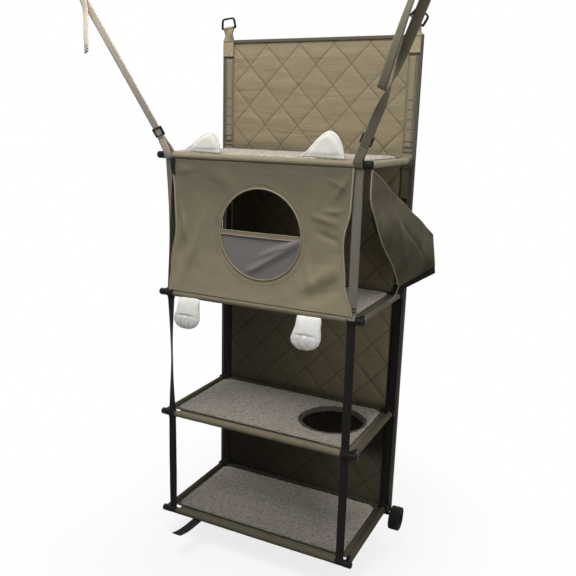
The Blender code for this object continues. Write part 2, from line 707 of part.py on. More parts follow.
def side_panel():
    """The house's closed left side, from sleeve to sleeve."""
    top = HOUSE_TOP_Z - SLEEVE_RADIUS - GAP
    low = HOUSE_LOW_Z + SLEEVE_RADIUS + GAP
    front, rear = HINGE_Y + NOTCH_FRONT_Y, HINGE_Y + NOTCH_REAR_Y
    shares = [i / SIDE_STEPS for i in range(SIDE_STEPS + 1)]
    rows = []
    for down in shares:
        row = []
        for back in shares:
            sag = FOLD_DEPTH * math.sin(math.pi * down) * math.sin(math.pi * back)
            row.append((sag - SIDE_X, front + (rear - front) * back, top + (low - top) * down))
        rows.append(row)
    place("side_panel_left", cloth("side_panel_left", rows), "olive")


def side_flap(carrier):
    """The open right side: cloth tied to the top corner fitting, flared out and back."""

    def from_tab(spot):
        return Vector((SIDE_X, 0, 0)) + Vector(spot) - FLAP_TAB

    near_edge = [Vector((0, 0, 0))] + [from_tab(spot) for spot in FLAP_NEAR]
    far_top, far_low = from_tab(FLAP_FAR_TOP), from_tab(FLAP_FAR_LOW)
    rows = []
    for i, near in enumerate(near_edge):
        down = i / (len(near_edge) - 1)
        far = far_top.lerp(far_low, down)
        row = []
        for j in range(FLAP_STEPS + 1):
            out = j / FLAP_STEPS
            swell = FLAP_FOLD * math.sin(math.pi * out) * math.sin(math.pi * down)
            row.append(near.lerp(far, out) + Vector((swell, 0, 0)))
        rows.append(row)
    place("side_flap", cloth("side_flap", rows), "olive", at(*FLAP_TAB), carrier)


def ear(side, carrier):
    """A stuffed felt ear on the top shelf's front edge."""
    sizes = EARS[side]
    left, right = Vector((-sizes["half"], 0)), Vector((sizes["half"], 0))
    peak, outer, inner = (Vector(sizes[key]) for key in ("peak", "outer", "inner"))
    outline = []
    for start, bend, end in ((right, outer, peak), (peak, inner, left)):
        for i in range(EAR_STEPS):
            t = i / EAR_STEPS
            outline.append((start * (1 - t) ** 2 + bend * 2 * t * (1 - t) + end * t ** 2)[:])
    outline.append(left[:])
    shape = flat("ear_" + side, [outline], EAR_THICK, EAR_EDGE)
    place(shape.name, shape, "felt", at(sizes["x"], 0, SLEEVE_RADIUS + GAP) @ PLANES["XZ"], carrier)


def paw(side, carrier):
    """A stuffed paw that hangs from its seam under the second shelf's front edge."""
    rings = []
    for share, half_width, half_thick in PAW_SECTIONS:
        ring = []
        for i in range(PAW_SIDES):
            angle = 2 * math.pi * i / PAW_SIDES
            x = half_width * math.copysign(abs(math.cos(angle)) ** PAW_SQUARENESS, math.cos(angle))
            groove = math.cos(TOES * math.pi * x / half_width) * max(0.0, 2 * share - 1) * TOE_GROOVE
            y = half_thick * math.sin(angle) * (1 + min(0.0, groove))
            ring.append((x + PAW_LEAN * share, y, -PAW_LENGTH * share))
        rings.append(ring)
    shape = loft("paw_" + side, rings)
    seam_y = -seat(SLEEVE_RADIUS, PAW_SEAM_DROP) - PAW_SECTIONS[0][2]
    seam_z = HOUSE_LOW_Z - HOUSE_TOP_Z - PAW_SEAM_DROP
    place(shape.name, shape, "felt", at(PAW_PLACES[side], seam_y, seam_z), carrier)


def tie_strap_front(hinge):
    """A loose strap end sewn under the bottom shelf, out past its front left edge."""
    across = Vector((1, 0, 0))
    under_plate = -DECK_THICK / 2 - GAP - TIE_THICK / 2
    under_sleeve = -SLEEVE_RADIUS - GAP - TIE_THICK / 2
    route = [(y, under_plate, 0.0) for y in TIE_SEWN] + [(y, under_sleeve, 0.0) for y in TIE_PASS]
    route += [(y, under_sleeve - drop, shift) for y, drop, shift in TIE_FREE]
    stations = [(Vector((TIE_X + shift, y - SHELF_REACH, z)), across) for y, z, shift in route]
    strap = webbing("tie_strap_front", stations, TIE_WIDTH, TIE_THICK)
    place(strap.name, strap, "black_webbing", parent=hinge)


def tie_strap_roll():
    """A strap sewn to the right band's foot and rolled up beside the bottom shelf."""
    across = Vector((1, 0, 0))
    centre = Vector((SIDE_X + ROLL_OUT, HINGE_Y - ROLL_FRONT, SHELF_Z[-1]))
    route = []
    for i in range(ROLL_TURNS * ROLL_STEPS + 1):
        angle = -2 * math.pi * i / ROLL_STEPS
        radius = ROLL_INNER + ROLL_PITCH * i / ROLL_STEPS
        route.append(centre + Vector((0, math.cos(angle), math.sin(angle))) * radius)
    least = min((low - high).length for low, high in zip(route, route[ROLL_STEPS:])) - TIE_THICK
    print("rolled strap's least gap to itself:", round(least, 4), "m")
    last = route[-1]
    foot = Vector((BAND_OUT - TIE_WIDTH / 2, BAND_FRONT_Y - GAP - TIE_THICK / 2, PANEL_LOW_Z + TIE_WIDTH / 2))
    route += [last.lerp(foot, share) - Vector((0, 0, ROLL_INNER)) for share in ROLL_LEAD]
    route += [foot - Vector((0, 0, TIE_WIDTH)), foot]
    strap = webbing("tie_strap_roll", [(point, across) for point in route], TIE_WIDTH, TIE_THICK)
    place(strap.name, strap, "black_webbing")


def build():
    """Clear the scene and model every piece."""
    for item in list(bpy.data.objects):
        bpy.data.objects.remove(item)
    collection(NAME)
    collection(CUTTERS)
    back_panel()
    for side in SIDES:
        side_band(side)
        ring_tab(side)
        hang_ring(side)
    corners = {side: corner_mesh(sign) for side, sign in SIDES.items()}
    hinges = [shelf(index, corners) for index in range(len(SHELF_Z))]
    hole_rim(hinges[HOLE_SHELF])
    tie_strap_front(hinges[-1])
    tie_strap_roll()
    carrier = pivot("front_webbing", (0, -SHELF_REACH, 0), hinges[0])
    front_panel(carrier)
    door_pieces(carrier)
    side_panel()
    side_flap(carrier)
    for side in SIDES:
        front_strap(side, carrier)
        upper_strap(side, carrier)
        strap_slider(side, carrier)
        ear(side, carrier)
        paw(side, carrier)


build()
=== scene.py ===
"""Looks of a hanging fabric cat tree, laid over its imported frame.

It is laid out as an add-on that also runs as a script: one operator for each group
of like pieces, one for the stage, and a sidebar panel that lists them all.
"""

import json
import math

import bmesh
import bpy
from bpy.props import FloatProperty, FloatVectorProperty, PointerProperty
from mathutils import Matrix, Vector, noise
from mathutils.bvhtree import BVHTree
from mathutils.kdtree import KDTree


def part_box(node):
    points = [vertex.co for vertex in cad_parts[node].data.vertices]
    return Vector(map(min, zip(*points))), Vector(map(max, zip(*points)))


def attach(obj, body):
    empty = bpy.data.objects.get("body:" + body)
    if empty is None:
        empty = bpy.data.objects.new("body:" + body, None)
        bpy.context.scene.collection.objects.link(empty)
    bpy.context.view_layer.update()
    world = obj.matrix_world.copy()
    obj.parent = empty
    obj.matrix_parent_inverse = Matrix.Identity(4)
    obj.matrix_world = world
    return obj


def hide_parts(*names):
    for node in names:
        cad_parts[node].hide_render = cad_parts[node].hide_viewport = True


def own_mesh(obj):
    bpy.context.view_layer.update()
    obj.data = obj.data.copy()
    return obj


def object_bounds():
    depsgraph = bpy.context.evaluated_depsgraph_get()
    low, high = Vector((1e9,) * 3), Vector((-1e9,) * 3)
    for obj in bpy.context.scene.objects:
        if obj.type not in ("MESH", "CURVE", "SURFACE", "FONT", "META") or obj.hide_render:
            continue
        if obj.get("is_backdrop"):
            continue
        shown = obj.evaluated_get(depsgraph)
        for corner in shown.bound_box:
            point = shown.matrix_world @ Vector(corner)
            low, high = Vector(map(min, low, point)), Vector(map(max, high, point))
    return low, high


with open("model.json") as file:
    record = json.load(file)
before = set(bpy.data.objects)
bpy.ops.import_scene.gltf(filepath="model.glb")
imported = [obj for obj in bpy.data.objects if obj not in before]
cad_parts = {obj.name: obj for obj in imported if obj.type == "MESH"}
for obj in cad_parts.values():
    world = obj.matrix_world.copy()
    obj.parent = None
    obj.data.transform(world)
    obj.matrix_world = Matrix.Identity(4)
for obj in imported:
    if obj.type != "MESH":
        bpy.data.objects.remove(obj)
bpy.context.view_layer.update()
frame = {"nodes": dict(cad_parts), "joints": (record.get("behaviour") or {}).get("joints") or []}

bl_info = {
    "name": "Hanging cat tree",
    "version": (1, 0, 0),
    "blender": (4, 5, 0),
    "location": "View3D > Sidebar > Cat Tree",
    "description": "Builds the looks of a hanging fabric cat tree over its frame",
    "category": "Object",
}


def middle(node):
    """Middle of a node's box."""
    low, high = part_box(node)
    return (low + high) / 2


def extent(node):
    """Size of a node's box."""
    low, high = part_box(node)
    return high - low


# Places and sizes that the frame gives
SIDES = {"left": -1, "right": 1}
SHELVES = ("shelf_1", "shelf_2", "shelf_3", "shelf_4")
JOINTS = {joint["name"]: joint for joint in frame["joints"]}
SHELF_Z = [JOINTS[shelf + "_fold"]["pos_m"][2] for shelf in SHELVES]
HINGE_Y = JOINTS["shelf_1_fold"]["pos_m"][1]
FRONT_Y = JOINTS["front_webbing_level"]["pos_m"][1]
RING_Z = JOINTS["ring_left_swing"]["pos_m"][2]
SIDE_X = middle("shelf_1_side_rod_right").x
ROD_RADIUS = extent("shelf_1_front_rod").z / 2
SLEEVE = extent("shelf_1_deck").z / 2
PANEL_LOW, PANEL_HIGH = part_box("back_panel")
PANEL_HALF = PANEL_HIGH.x
PANEL_MID_Z = (PANEL_LOW.z + PANEL_HIGH.z) / 2
BAND_X = middle("side_band_right").x
BAND_WIDTH = extent("side_band_right").x
BAND_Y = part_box("side_band_right")[1].y
STRAP_X = middle("front_strap_right").x
STRAP_WIDTH = extent("front_strap_right").x
DOOR = middle("door_rim")
HOLE = middle("hole_rim")
HOLE_OUTER = extent("hole_rim").x / 2
PATCH_LOW_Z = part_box("ring_tab_left")[0].z

# Directions, and the gap left between webbing and what it lies on
LEVEL = Vector((1, 0, 0))
OUTWARD = Vector((0, -1, 0))
SNUG = 0.0004

# Sizes of the pieces that the frame holds only as plain solids
PANEL_THICK = 0.008
PANEL_FACE_Y = PANEL_HIGH.y - PANEL_THICK
PANEL_BACK_Y = PANEL_HIGH.y - 0.005
DIAMOND_WIDTH = 0.096
DIAMOND_HEIGHT = 0.102
QUILT_HALF = BAND_X - BAND_WIDTH / 2
QUILT_MARGIN = 0.022
QUILT_MID_Z = PANEL_MID_Z + DIAMOND_HEIGHT / 2
SEAM_SPACING = 1 / math.hypot(1 / DIAMOND_WIDTH, 1 / DIAMOND_HEIGHT)
PAD_SLOPE = 0.011
BACK_PAD = 0.002
BINDING_WIDTH = 0.007
TACK_BEVEL = 0.0004
STRIPE_WIDTH = 0.015
STRIPE_INSET = 0.002
STRIPE_START = 0.030
STRIPE_RUN = 0.215
SLEEVE_WRINKLE = 0.0005
DOOR_RADIUS = 0.105
HOUSE_TOP_Z = SHELF_Z[0] - SLEEVE
HOUSE_LOW_Z = SHELF_Z[1] + SLEEVE
FRONT_PANEL_Y = FRONT_Y - 0.005
NOTCH_X = STRAP_X - STRAP_WIDTH / 2 - SNUG
NOTCH_FRONT_Y = FRONT_Y + 0.0244
NOTCH_REAR_Y = HINGE_Y - 0.0119
STRAP_BULGE_RUN = 0.0084
LOOP_BACK_RUN = 0.028
LOOP_RISE = 0.013
STRAP_RUN = 0.420
STRAP_SEAM = 0.035
EYE_RADIUS = 0.012
EAR_HEM = 0.0065
PAW_HALF = 0.037

# Heights of the bar tacks and the marks above a rod
BAND_TACKS = (0.021, 0.033, 0.046, -0.021)
BAND_MARKS = (0.075, 0.098, 0.121, 0.144)
STRAP_TACKS = (0.019, 0.027, -0.019)

# Turn of each front strap in degrees, bay by bay, and the tone of its upper part's foot
STRAP_TURNS = {"left": ((-45, -44, 10), 0.11), "right": ((12, 8, 8), 1.0)}

# Painted light and shade, drawn into the cloth as tones: the panel's front by depth below the origin, at its
# left and right edges; a deck with its front sleeve, and its other sleeves; the front and the rear of a mat
QUILT_PAINTED_LIGHT = {
    "left": ((-1.0, 1.0), (0.30, 1.0), (0.38, 0.25), (0.66, 0.25), (0.70, 0.48), (0.98, 0.40), (1.03, 0.10),
             (1.12, 0.10), (1.18, 0.14), (2.0, 0.12)),
    "right": ((-1.0, 0.94), (0.30, 0.94), (0.40, 1.0), (0.80, 1.05), (0.98, 0.90), (1.03, 0.10),
              (1.12, 0.10), (1.18, 0.40), (2.0, 0.34)),
}
# Painted light and shade of each deck: painted light on the top shelf's side and rear sleeves, painted shade
# on the lower decks
DECK_PAINTED_LIGHT = ((1.0, 1.2), (0.80, 0.55), (0.70, 0.36), (0.40, 0.30))
# Painted light and shade of each mat: painted light on the two upper mats; on the lower ones painted shade
# at the front turning to painted light at the rear
FLEECE_PAINTED_LIGHT = ((1.08, 1.08), (1.45, 1.45), (0.66, 1.2), (0.46, 1.6))

# Free tails of the upper straps: distance along the strap, sideways, lift, drop, and lean in degrees
TAILS = {
    "left": ((0.350, -0.006, -0.005, 0.0, -10), (0.345, -0.008, -0.008, 0.040, -14),
             (0.345, -0.008, -0.008, 0.086, -18)),
    "right": ((0.360, -0.020, -0.006, 0.0, -50), (0.260, -0.018, -0.007, 0.0, -30),
              (0.160, -0.011, -0.007, 0.0, -5)),
}

# The open flap's near edge from its tie down, and its far corners: past the side rod's axis,
# behind the front rod and above the top shelf
FLAP_NEAR = ((0.010, 0.0, -0.0089), (0.012, -0.006, -0.070), (0.0165, 0.015, -0.111),
             (0.0185, 0.051, -0.157), (0.019, 0.099, -0.198), (0.019, 0.161, -0.243), (0.019, 0.216, -0.300))
FLAP_FAR = ((0.083, 0.256, -0.170), (0.092, 0.264, -0.2485))
FLAP_CORD = ((0.013, 0.2073, -0.3236), (0.0085, 0.190, -0.331), (0.004, 0.180, -0.3302))

# Side edges of the house front, as share of the way down and distance from the middle
LEFT_EDGE = ((0.0, -0.2303), (0.25, -0.222), (0.5, -0.219), (0.78, -0.234), (1.0, -0.2423))
RIGHT_EDGE = ((0.0, 0.2303), (0.25, 0.228), (0.5, 0.2143), (0.78, 0.222), (1.0, 0.2423))

# Folds of the house front: start and end as x and z, half width, height towards the viewer
FRONT_FOLDS = (
    (-0.180, -0.508, -0.216, -0.627, 0.012, -0.0050),
    (-0.217, -0.440, -0.189, -0.560, 0.009, 0.0045),
    (-0.211, -0.664, -0.138, -0.485, 0.013, 0.0050),
    (-0.226, -0.470, -0.198, -0.520, 0.005, -0.0026),
    (-0.216, -0.600, -0.205, -0.540, 0.005, -0.0030),
    (0.227, -0.371, 0.190, -0.425, 0.007, 0.0046),
    (0.224, -0.405, 0.176, -0.385, 0.005, 0.0026),
    (0.216, -0.450, 0.165, -0.455, 0.005, 0.0028),
    (0.205, -0.480, 0.134, -0.463, 0.008, 0.0036),
    (0.212, -0.520, 0.150, -0.500, 0.007, -0.0034),
    (0.117, -0.657, 0.215, -0.611, 0.020, -0.0052),
    (0.120, -0.640, 0.222, -0.560, 0.016, 0.0050),
    (0.125, -0.560, 0.150, -0.650, 0.010, 0.0032),
    (-0.120, -0.375, -0.060, -0.420, 0.018, 0.0022),
    (-0.225, -0.390, -0.160, -0.375, 0.010, 0.0022),
)

# The camera, and the lamps as name, place, size and watts
CAMERA_PLACE = (0.7415, -1.6594, -0.2764)
CAMERA_YAW = math.radians(25.77)
CAMERA_PITCH = math.radians(13.32)
CAMERA_ROLL = math.radians(1.63)
CAMERA_LENS = 42.6
LAMPS = (
    ("key", (-0.10, -0.95, 0.80), 1.0, 27.5),
    ("side", (1.3, -0.8, -0.5), 1.2, 6.0),
    ("rear", (0.5, 1.9, 0.3), 2.0, 36.0),
    ("left", (-1.7, 0.5, -0.1), 1.4, 9.0),
)
LAMP_AIM = Vector((0.0, -0.15, -0.55))
FLOOR_DROP = 0.05
FLOOR_HALF = 6.0
SOFT_LIGHT = 0.20
WHITE = (1.0, 1.0, 1.0, 1.0)
SHARP_ANGLE = math.radians(50)

# Patterns by their repeats per metre: dye patches of 70 mm and flecks of 2.4 mm on woven cloth, tufts of
# 5 mm on fleece, patches of 17 mm and a nap of 1.5 mm on felt, mesh cells of 2 mm, and a grain of 1.1 mm on
# plastic and metal. The flecks, the nap and the grain are drawn coarser than they are, so that they show
DYE_PATCHES = 14.0
FLECKS = 420.0
TUFTS = 190.0
FELT_PATCHES = 60.0
NAP = 650.0
MESH_CELLS = 500.0
GRAIN = 900.0

# Frames that a stuffed piece is blown up for
PUFF_FRAMES = 20


def linear(code):
    """Linear colour from a hex code in sRGB."""
    values = [int(code[i:i + 2], 16) / 255 for i in (1, 3, 5)]
    return tuple(v / 12.92 if v <= 0.04045 else ((v + 0.055) / 1.055) ** 2.4 for v in values)


def colour(label, code):
    """A colour setting that starts from a hex code."""
    return FloatVectorProperty(
        name=label,
        description=label + " colour",
        subtype="COLOR",
        default=linear(code),
        min=0.0,
        max=1.0,
    )


def length(label, words, metres):
    """A length setting in metres."""
    return FloatProperty(name=label, description=words, default=metres, min=0.0, unit="LENGTH", precision=4)


class CatTreeSizes(bpy.types.PropertyGroup):
    """Sizes of the visible pieces"""
    quilt_puff: length("Quilt puff", "Height of a quilted diamond over its seams", 0.0024)
    pucker: length("Pucker", "Height of the small puckers between seams", 0.0032)
    canvas_thick: length("Canvas", "Thickness of the shelf and house canvas", 0.0010)
    webbing_thick: length("Webbing", "Thickness of the webbing", 0.0014)
    fleece_curl: length("Fleece curl", "Height of the fleece's curls", 0.0014)
    fleece_grid: length("Fleece grid", "Cell size of the fleece's surface", 0.0032)
    stitch: length("Stitch", "Length of a sewn stitch", 0.0032)
    thread: length("Thread", "Thickness of sewing thread", 0.0007)
    piping: length("Piping", "Radius of the house front's rolled edge", 0.0022)


class CatTreeColours(bpy.types.PropertyGroup):
    """Colours of the materials"""
    quilt: colour("Quilted canvas", "#8a7f67")
    canvas: colour("Olive canvas", "#8a816b")
    hem: colour("Canvas hem", "#989079")
    binding: colour("Binding tape", "#57544a")
    band: colour("Side webbing", "#746c58")
    stripe: colour("Side webbing's stripe", "#837b65")
    tan_webbing: colour("Ring tab webbing", "#94886d")
    pale_webbing: colour("Pale webbing", "#d0c5b4")
    grey_webbing: colour("Grey webbing", "#746f66")
    dark_webbing: colour("Dark webbing", "#736d5d")
    black_webbing: colour("Black webbing", "#262422")
    fleece: colour("Fleece", "#b0a698")
    felt: colour("Ear felt", "#dfdcd4")
    # The paws' felt is the ears' felt made paler: painted light where the paws hang in the second shelf's
    # shade
    paw: colour("Paw felt", "#f6f4ee")
    mesh: colour("Pocket mesh", "#7b7674")
    plastic: colour("Black plastic", "#0c0c0c")
    steel: colour("Dark steel", "#3a3936")
    thread: colour("Thread", "#cabfa6")


class CatTreeSettings(bpy.types.PropertyGroup):
    """Everything the cat tree's operators read"""
    sizes: PointerProperty(type=CatTreeSizes)
    colours: PointerProperty(type=CatTreeColours)


def smooth_point(points, share):
    """A point on the smooth curve through points, at a share of its spans."""
    spans = len(points) - 1
    at = min(max(share, 0.0) * spans, spans - 1e-6)
    i = int(at)
    t = at - i
    before, start, end = points[max(i - 1, 0)], points[i], points[i + 1]
    after = points[min(i + 2, spans)]
    bend = (before * 2 - start * 5 + end * 4 - after) * (t * t)
    twist = (start * 3 - before - end * 3 + after) * (t ** 3)
    return (start * 2 + (end - before) * t + bend + twist) * 0.5


def table_value(table, share):
    """A value read smoothly from pairs of share and value."""
    for (low, first), (high, last) in zip(table, table[1:]):
        if share <= high:
            t = (share - low) / (high - low)
            return first + (last - first) * t * t * (3 - 2 * t)
    return table[-1][1]


def ease(value):
    """A smooth step from 0 to 1."""
    t = min(max(value, 0.0), 1.0)
    return t * t * (3 - 2 * t)


def arch(share):
    """0 at both ends of a run and 1 in its middle."""
    return math.sin(math.pi * share)


def bell(value, width):
    """1 at zero, falling off smoothly on both sides over a width."""
    return math.exp(-(value / width) ** 2)


def ripple(x, y, z=0.0):
    """Smooth noise between about -1 and 1."""
    return noise.noise(Vector((x, y, z)))


def mapped_grid(bm, columns, rows, place, flat=(1.0, 1.0)):
    """Add a grid with its points put by place(across, down), and its flat size as UV in metres."""
    new = bmesh.ops.create_grid(bm, x_segments=columns, y_segments=rows, size=0.5)["verts"]
    layers = bm.loops.layers.uv
    uv = layers.get("cloth") or layers.new("cloth")
    for face in {face for vert in new for face in vert.link_faces}:
        for loop in face.loops:
            across, down = loop.vert.co.x + 0.5, loop.vert.co.y + 0.5
            loop[uv].uv = (across * flat[0], down * flat[1])
    for vert in new:
        vert.co = place(vert.co.x + 0.5, vert.co.y + 0.5)
    return new


def flat_uv(bm, across, down):
    """Set the cloth UV to two of the piece's own coordinates, in metres."""
    layers = bm.loops.layers.uv
    layer = layers.get("cloth") or layers.new("cloth")
    for face in bm.faces:
        for loop in face.loops:
            loop[layer].uv = (loop.vert.co[across], loop.vert.co[down])


def toned(bm, tone):
    """Keep a tone for each point, which shaded cloth multiplies its colour by."""
    layer = bm.verts.layers.float.get("tone") or bm.verts.layers.float.new("tone")
    for vert in bm.verts:
        vert[layer] = tone(vert.co)


def weld(bm):
    """Merge the points that lie on one another."""
    bmesh.ops.remove_doubles(bm, verts=bm.verts, dist=1e-6)


def soften(bm, factor):
    """Move every point towards its neighbours by a share."""
    axes = {"use_axis_" + axis: True for axis in "xyz"}
    bmesh.ops.smooth_vert(bm, verts=bm.verts, factor=factor, **axes)


def cut(bm, point, normal, trim=False):
    """Cut every face along a plane, and trim what lies past it if asked."""
    everything = bm.verts[:] + bm.edges[:] + bm.faces[:]
    bmesh.ops.bisect_plane(bm, geom=everything, plane_co=point, plane_no=normal, dist=1e-6,
                           clear_outer=trim)


def tube(bm, start, end, radius, sides=18, rows=48, wrinkle=0.0):
    """Add an open tube between two points, with small wrinkles round it."""
    start, end = Vector(start), Vector(end)
    along = (end - start).normalized()
    out = along.orthogonal().normalized()
    side = along.cross(out)
    run = (end - start).length

    def place(across, down):
        angle = 2 * math.pi * across
        spoke = out * math.cos(angle) + side * math.sin(angle)
        point = start.lerp(end, down)
        wave = ripple(point.x * 60 + spoke.x, point.y * 60 + spoke.y, spoke.z * 1.5 + point.z * 7)
        return point + spoke * (radius + wrinkle * wave)

    new = mapped_grid(bm, sides, rows, place, (2 * math.pi * radius, run))
    bmesh.ops.remove_doubles(bm, verts=new, dist=1e-6)


def webbing_grid(bm, stations, width, rows, columns=6):
    """Add a webbing strip through stations of point and across direction."""
    points = [Vector(point) for point, _ in stations]
    sides = [Vector(across) for _, across in stations]
    samples = [smooth_point(points, i / rows) for i in range(rows + 1)]
    run = sum((b - a).length for a, b in zip(samples, samples[1:]))

    def place(across, down):
        return smooth_point(points, down) + smooth_point(sides, down).normalized() * width * (across - 0.5)

    mapped_grid(bm, columns, rows, place, (width, run))
    return run


def loop_stations(centre, radius, start, end, across, steps=10):
    """Stations of webbing round a rod, by angles in degrees from +Y towards +Z."""
    stations = []
    for i in range(steps + 1):
        angle = math.radians(start + (end - start) * i / steps)
        spoke = Vector((0, math.cos(angle), math.sin(angle)))
        stations.append((centre + spoke * radius, across))
    return stations


def bar(bm, place, along, out, size):
    """Add a small block, by its middle, its long direction and its outward direction."""
    along, out = Vector(along).normalized(), Vector(out).normalized()
    side = out.cross(along)
    basis = Matrix((along, side, out)).transposed().to_4x4()
    matrix = Matrix.Translation(place) @ basis @ Matrix.Diagonal((*size, 1.0))
    bmesh.ops.create_cube(bm, size=1.0, matrix=matrix)


def stitches(bm, points, out, look):
    """Add a row of stitches along points."""
    stitch, thread = look.sizes.stitch, look.sizes.thread
    pitch = stitch * 1.5
    left = 0.0
    for start, end in zip(points, points[1:]):
        step = Vector(end) - Vector(start)
        run = step.length
        while left < run:
            bar(bm, Vector(start) + step * (left / run), step, out, (stitch, thread, thread))
            left += pitch
        left -= run


def rod_curve(name, points, radius, closed=False):
    """A mesh of round cord through points."""
    curve = bpy.data.curves.new(name, "CURVE")
    curve.dimensions = "3D"
    curve.bevel_depth = radius
    curve.bevel_resolution = 2
    curve.use_fill_caps = True
    spline = curve.splines.new("POLY")
    spline.points.add(len(points) - 1)
    for point, co in zip(spline.points, points):
        point.co = (*co, 1.0)
    spline.use_cyclic_u = closed
    return baked(bpy.data.objects.new(name, curve))


def baked(obj):
    """A bmesh of an object with its modifiers applied; the object goes."""
    bpy.context.scene.collection.objects.link(obj)
    bpy.context.view_layer.update()
    mesh = bpy.data.meshes.new_from_object(obj.evaluated_get(bpy.context.evaluated_depsgraph_get()))
    bm = bmesh.new()
    bm.from_mesh(mesh)
    bpy.data.meshes.remove(mesh)
    bpy.data.objects.remove(obj)
    return bm


def cad_copy(node):
    """A merged bmesh copy of a CAD node."""
    bm = bmesh.new()
    bm.from_mesh(frame["nodes"][node].data)
    bmesh.ops.remove_doubles(bm, verts=bm.verts, dist=1e-5)
    return bm


def remeshed(bm, cell):
    """The same form as an even skin of small cells."""
    mesh = bpy.data.meshes.new("remeshed")
    bm.to_mesh(mesh)
    bm.free()
    obj = bpy.data.objects.new("remeshed", mesh)
    modifier = obj.modifiers.new("skin", "REMESH")
    modifier.mode = "VOXEL"
    modifier.voxel_size = cell
    skin = baked(obj)
    bpy.data.meshes.remove(mesh)
    return skin


def puffed(bm, cell, pressure, cap):
    """The form blown up softly as cloth, with each point kept within a cap of its start."""
    skin = remeshed(bm, cell)
    scene = bpy.context.scene
    mesh = bpy.data.meshes.new("puffed")
    skin.to_mesh(mesh)
    obj = bpy.data.objects.new("puffed", mesh)
    scene.collection.objects.link(obj)
    cloth = obj.modifiers.new("cloth", "CLOTH")
    cloth.settings.use_pressure = True
    cloth.settings.uniform_pressure_force = pressure
    cloth.settings.effector_weights.gravity = 0.0
    for step in range(1, PUFF_FRAMES + 1):
        scene.frame_set(step)
    blown = obj.evaluated_get(bpy.context.evaluated_depsgraph_get()).data.vertices
    for vert, end in zip(skin.verts, blown):
        move = end.co - vert.co
        vert.co += move * min(1.0, cap / max(move.length, 1e-9))
    bpy.data.objects.remove(obj)
    bpy.data.meshes.remove(mesh)
    scene.frame_set(1)
    return skin


def piece(name, bm, finish, body, nodes=(), thick=0.0, levels=0, bevel=0.0):
    """Finish a bmesh as a piece that rides on a body and stands for CAD nodes."""
    bmesh.ops.recalc_face_normals(bm, faces=bm.faces)
    mesh = bpy.data.meshes.new(name)
    bm.to_mesh(mesh)
    bm.free()
    mesh.shade_smooth()
    mesh.set_sharp_from_angle(angle=SHARP_ANGLE)
    mesh.materials.append(material(finish))
    obj = bpy.data.objects.new(name, mesh)
    bpy.context.scene.collection.objects.link(obj)
    if thick:
        modifier = obj.modifiers.new("thickness", "SOLIDIFY")
        modifier.thickness = thick
        modifier.offset = 0.0
    if bevel:
        modifier = obj.modifiers.new("soft edges", "BEVEL")
        modifier.width = bevel
        modifier.segments = 2
        modifier.limit_method = "ANGLE"
        modifier.angle_limit = SHARP_ANGLE
    if levels:
        modifier = obj.modifiers.new("smooth", "SUBSURF")
        modifier.levels = levels
        modifier.render_levels = levels
    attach(obj, body)
    if nodes:
        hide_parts(*nodes)
    return obj


def add(tree, kind, inputs=None, **options):
    """Add a shader node; inputs maps sockets to values or to other nodes' outputs."""
    node = tree.nodes.new("ShaderNode" + kind)
    for key, value in options.items():
        setattr(node, key, value)
    for key, value in (inputs or {}).items():
        if isinstance(value, bpy.types.NodeSocket):
            tree.links.new(value, node.inputs[key])
        else:
            node.inputs[key].default_value = value
    return node


def tinted(rgb, share):
    """A colour made lighter or darker by a share, with full alpha."""
    return tuple(min(c * share, 1.0) for c in rgb) + (1.0,)


def start_material(name, **sockets):
    """A new material and its nodes, with the shader's constant sockets set."""
    made = bpy.data.materials.new(name + "_finish")
    made.use_nodes = True
    shader = made.node_tree.nodes["Principled BSDF"]
    for key, value in sockets.items():
        shader.inputs[key.replace("_", " ")].default_value = value
    return made, made.node_tree


def dressed(made, shade, normal):
    """The material with a colour and a normal joined to its shader."""
    tree = made.node_tree
    shader = tree.nodes["Principled BSDF"]
    tree.links.new(shade, shader.inputs["Base Color"])
    tree.links.new(normal, shader.inputs["Normal"])
    return made


def woven(name, rgb, pitch, depth, spread, lines=False, shaded=False, crinkle=None):
    """Woven cloth: uneven dye over a thread grid in fine rows, with drawn tones and crinkles where asked."""
    made, tree = start_material(name, Roughness=0.9, Sheen_Weight=0.06, Specular_IOR_Level=0.06)
    uv = add(tree, "UVMap", uv_map="cloth").outputs[0]
    # At a scale of 1 a wave texture repeats every pi / 10
    rows = {"Vector": uv, "Scale": math.pi / 10 / pitch}
    warp, weft = (add(tree, "TexWave", rows, bands_direction=axis).outputs[1] for axis in "XY")
    weave = add(tree, "Math", {0: warp, 1: weft}, operation="ADD").outputs[0]
    slow = add(tree, "TexNoise", {"Vector": uv, "Scale": DYE_PATCHES, "Detail": 4.0, "Roughness": 0.6})
    grain = add(tree, "TexNoise", {"Vector": uv, "Scale": FLECKS, "Detail": 2.0}).outputs[0]
    flecks = {0: grain, 1: 0.35, 2: 0.65, 3: 1 - spread / 2, 4: 1 + spread / 2}
    tones = [add(tree, "MapRange", flecks).outputs[0]]
    if lines:
        tones.append(quilt_lines(tree))
    # The drawn tone: painted light and shade on the panel, the decks, the house front, the flap and the pale
    # strap, and a darker foot on the grey strap
    if shaded:
        tones.append(add(tree, "Attribute", attribute_name="tone").outputs["Fac"])
    dyes = {0: slow.outputs[0], 6: tinted(rgb, 1 - spread), 7: tinted(rgb, 1 + spread)}
    shade = add(tree, "Mix", dyes, data_type="RGBA").outputs[2]
    for tone in tones:
        shade = add(tree, "VectorMath", {0: shade, 1: tone}, operation="MULTIPLY").outputs[0]
    normal = add(tree, "Bump", {"Height": weave, "Strength": 0.35, "Distance": depth}).outputs[0]
    if crinkle:
        place = add(tree, "TexCoord").outputs["Object"]
        drawn = add(tree, "VectorMath", {0: place, 1: crinkle}, operation="MULTIPLY").outputs[0]
        folds = add(tree, "TexNoise", {"Vector": drawn, "Scale": 1.0, "Detail": 3.0, "Distortion": 0.8})
        raised = {"Height": folds.outputs[0], "Strength": 0.45, "Distance": 0.006, "Normal": normal}
        normal = add(tree, "Bump", raised).outputs[0]
    return dressed(made, shade, normal)


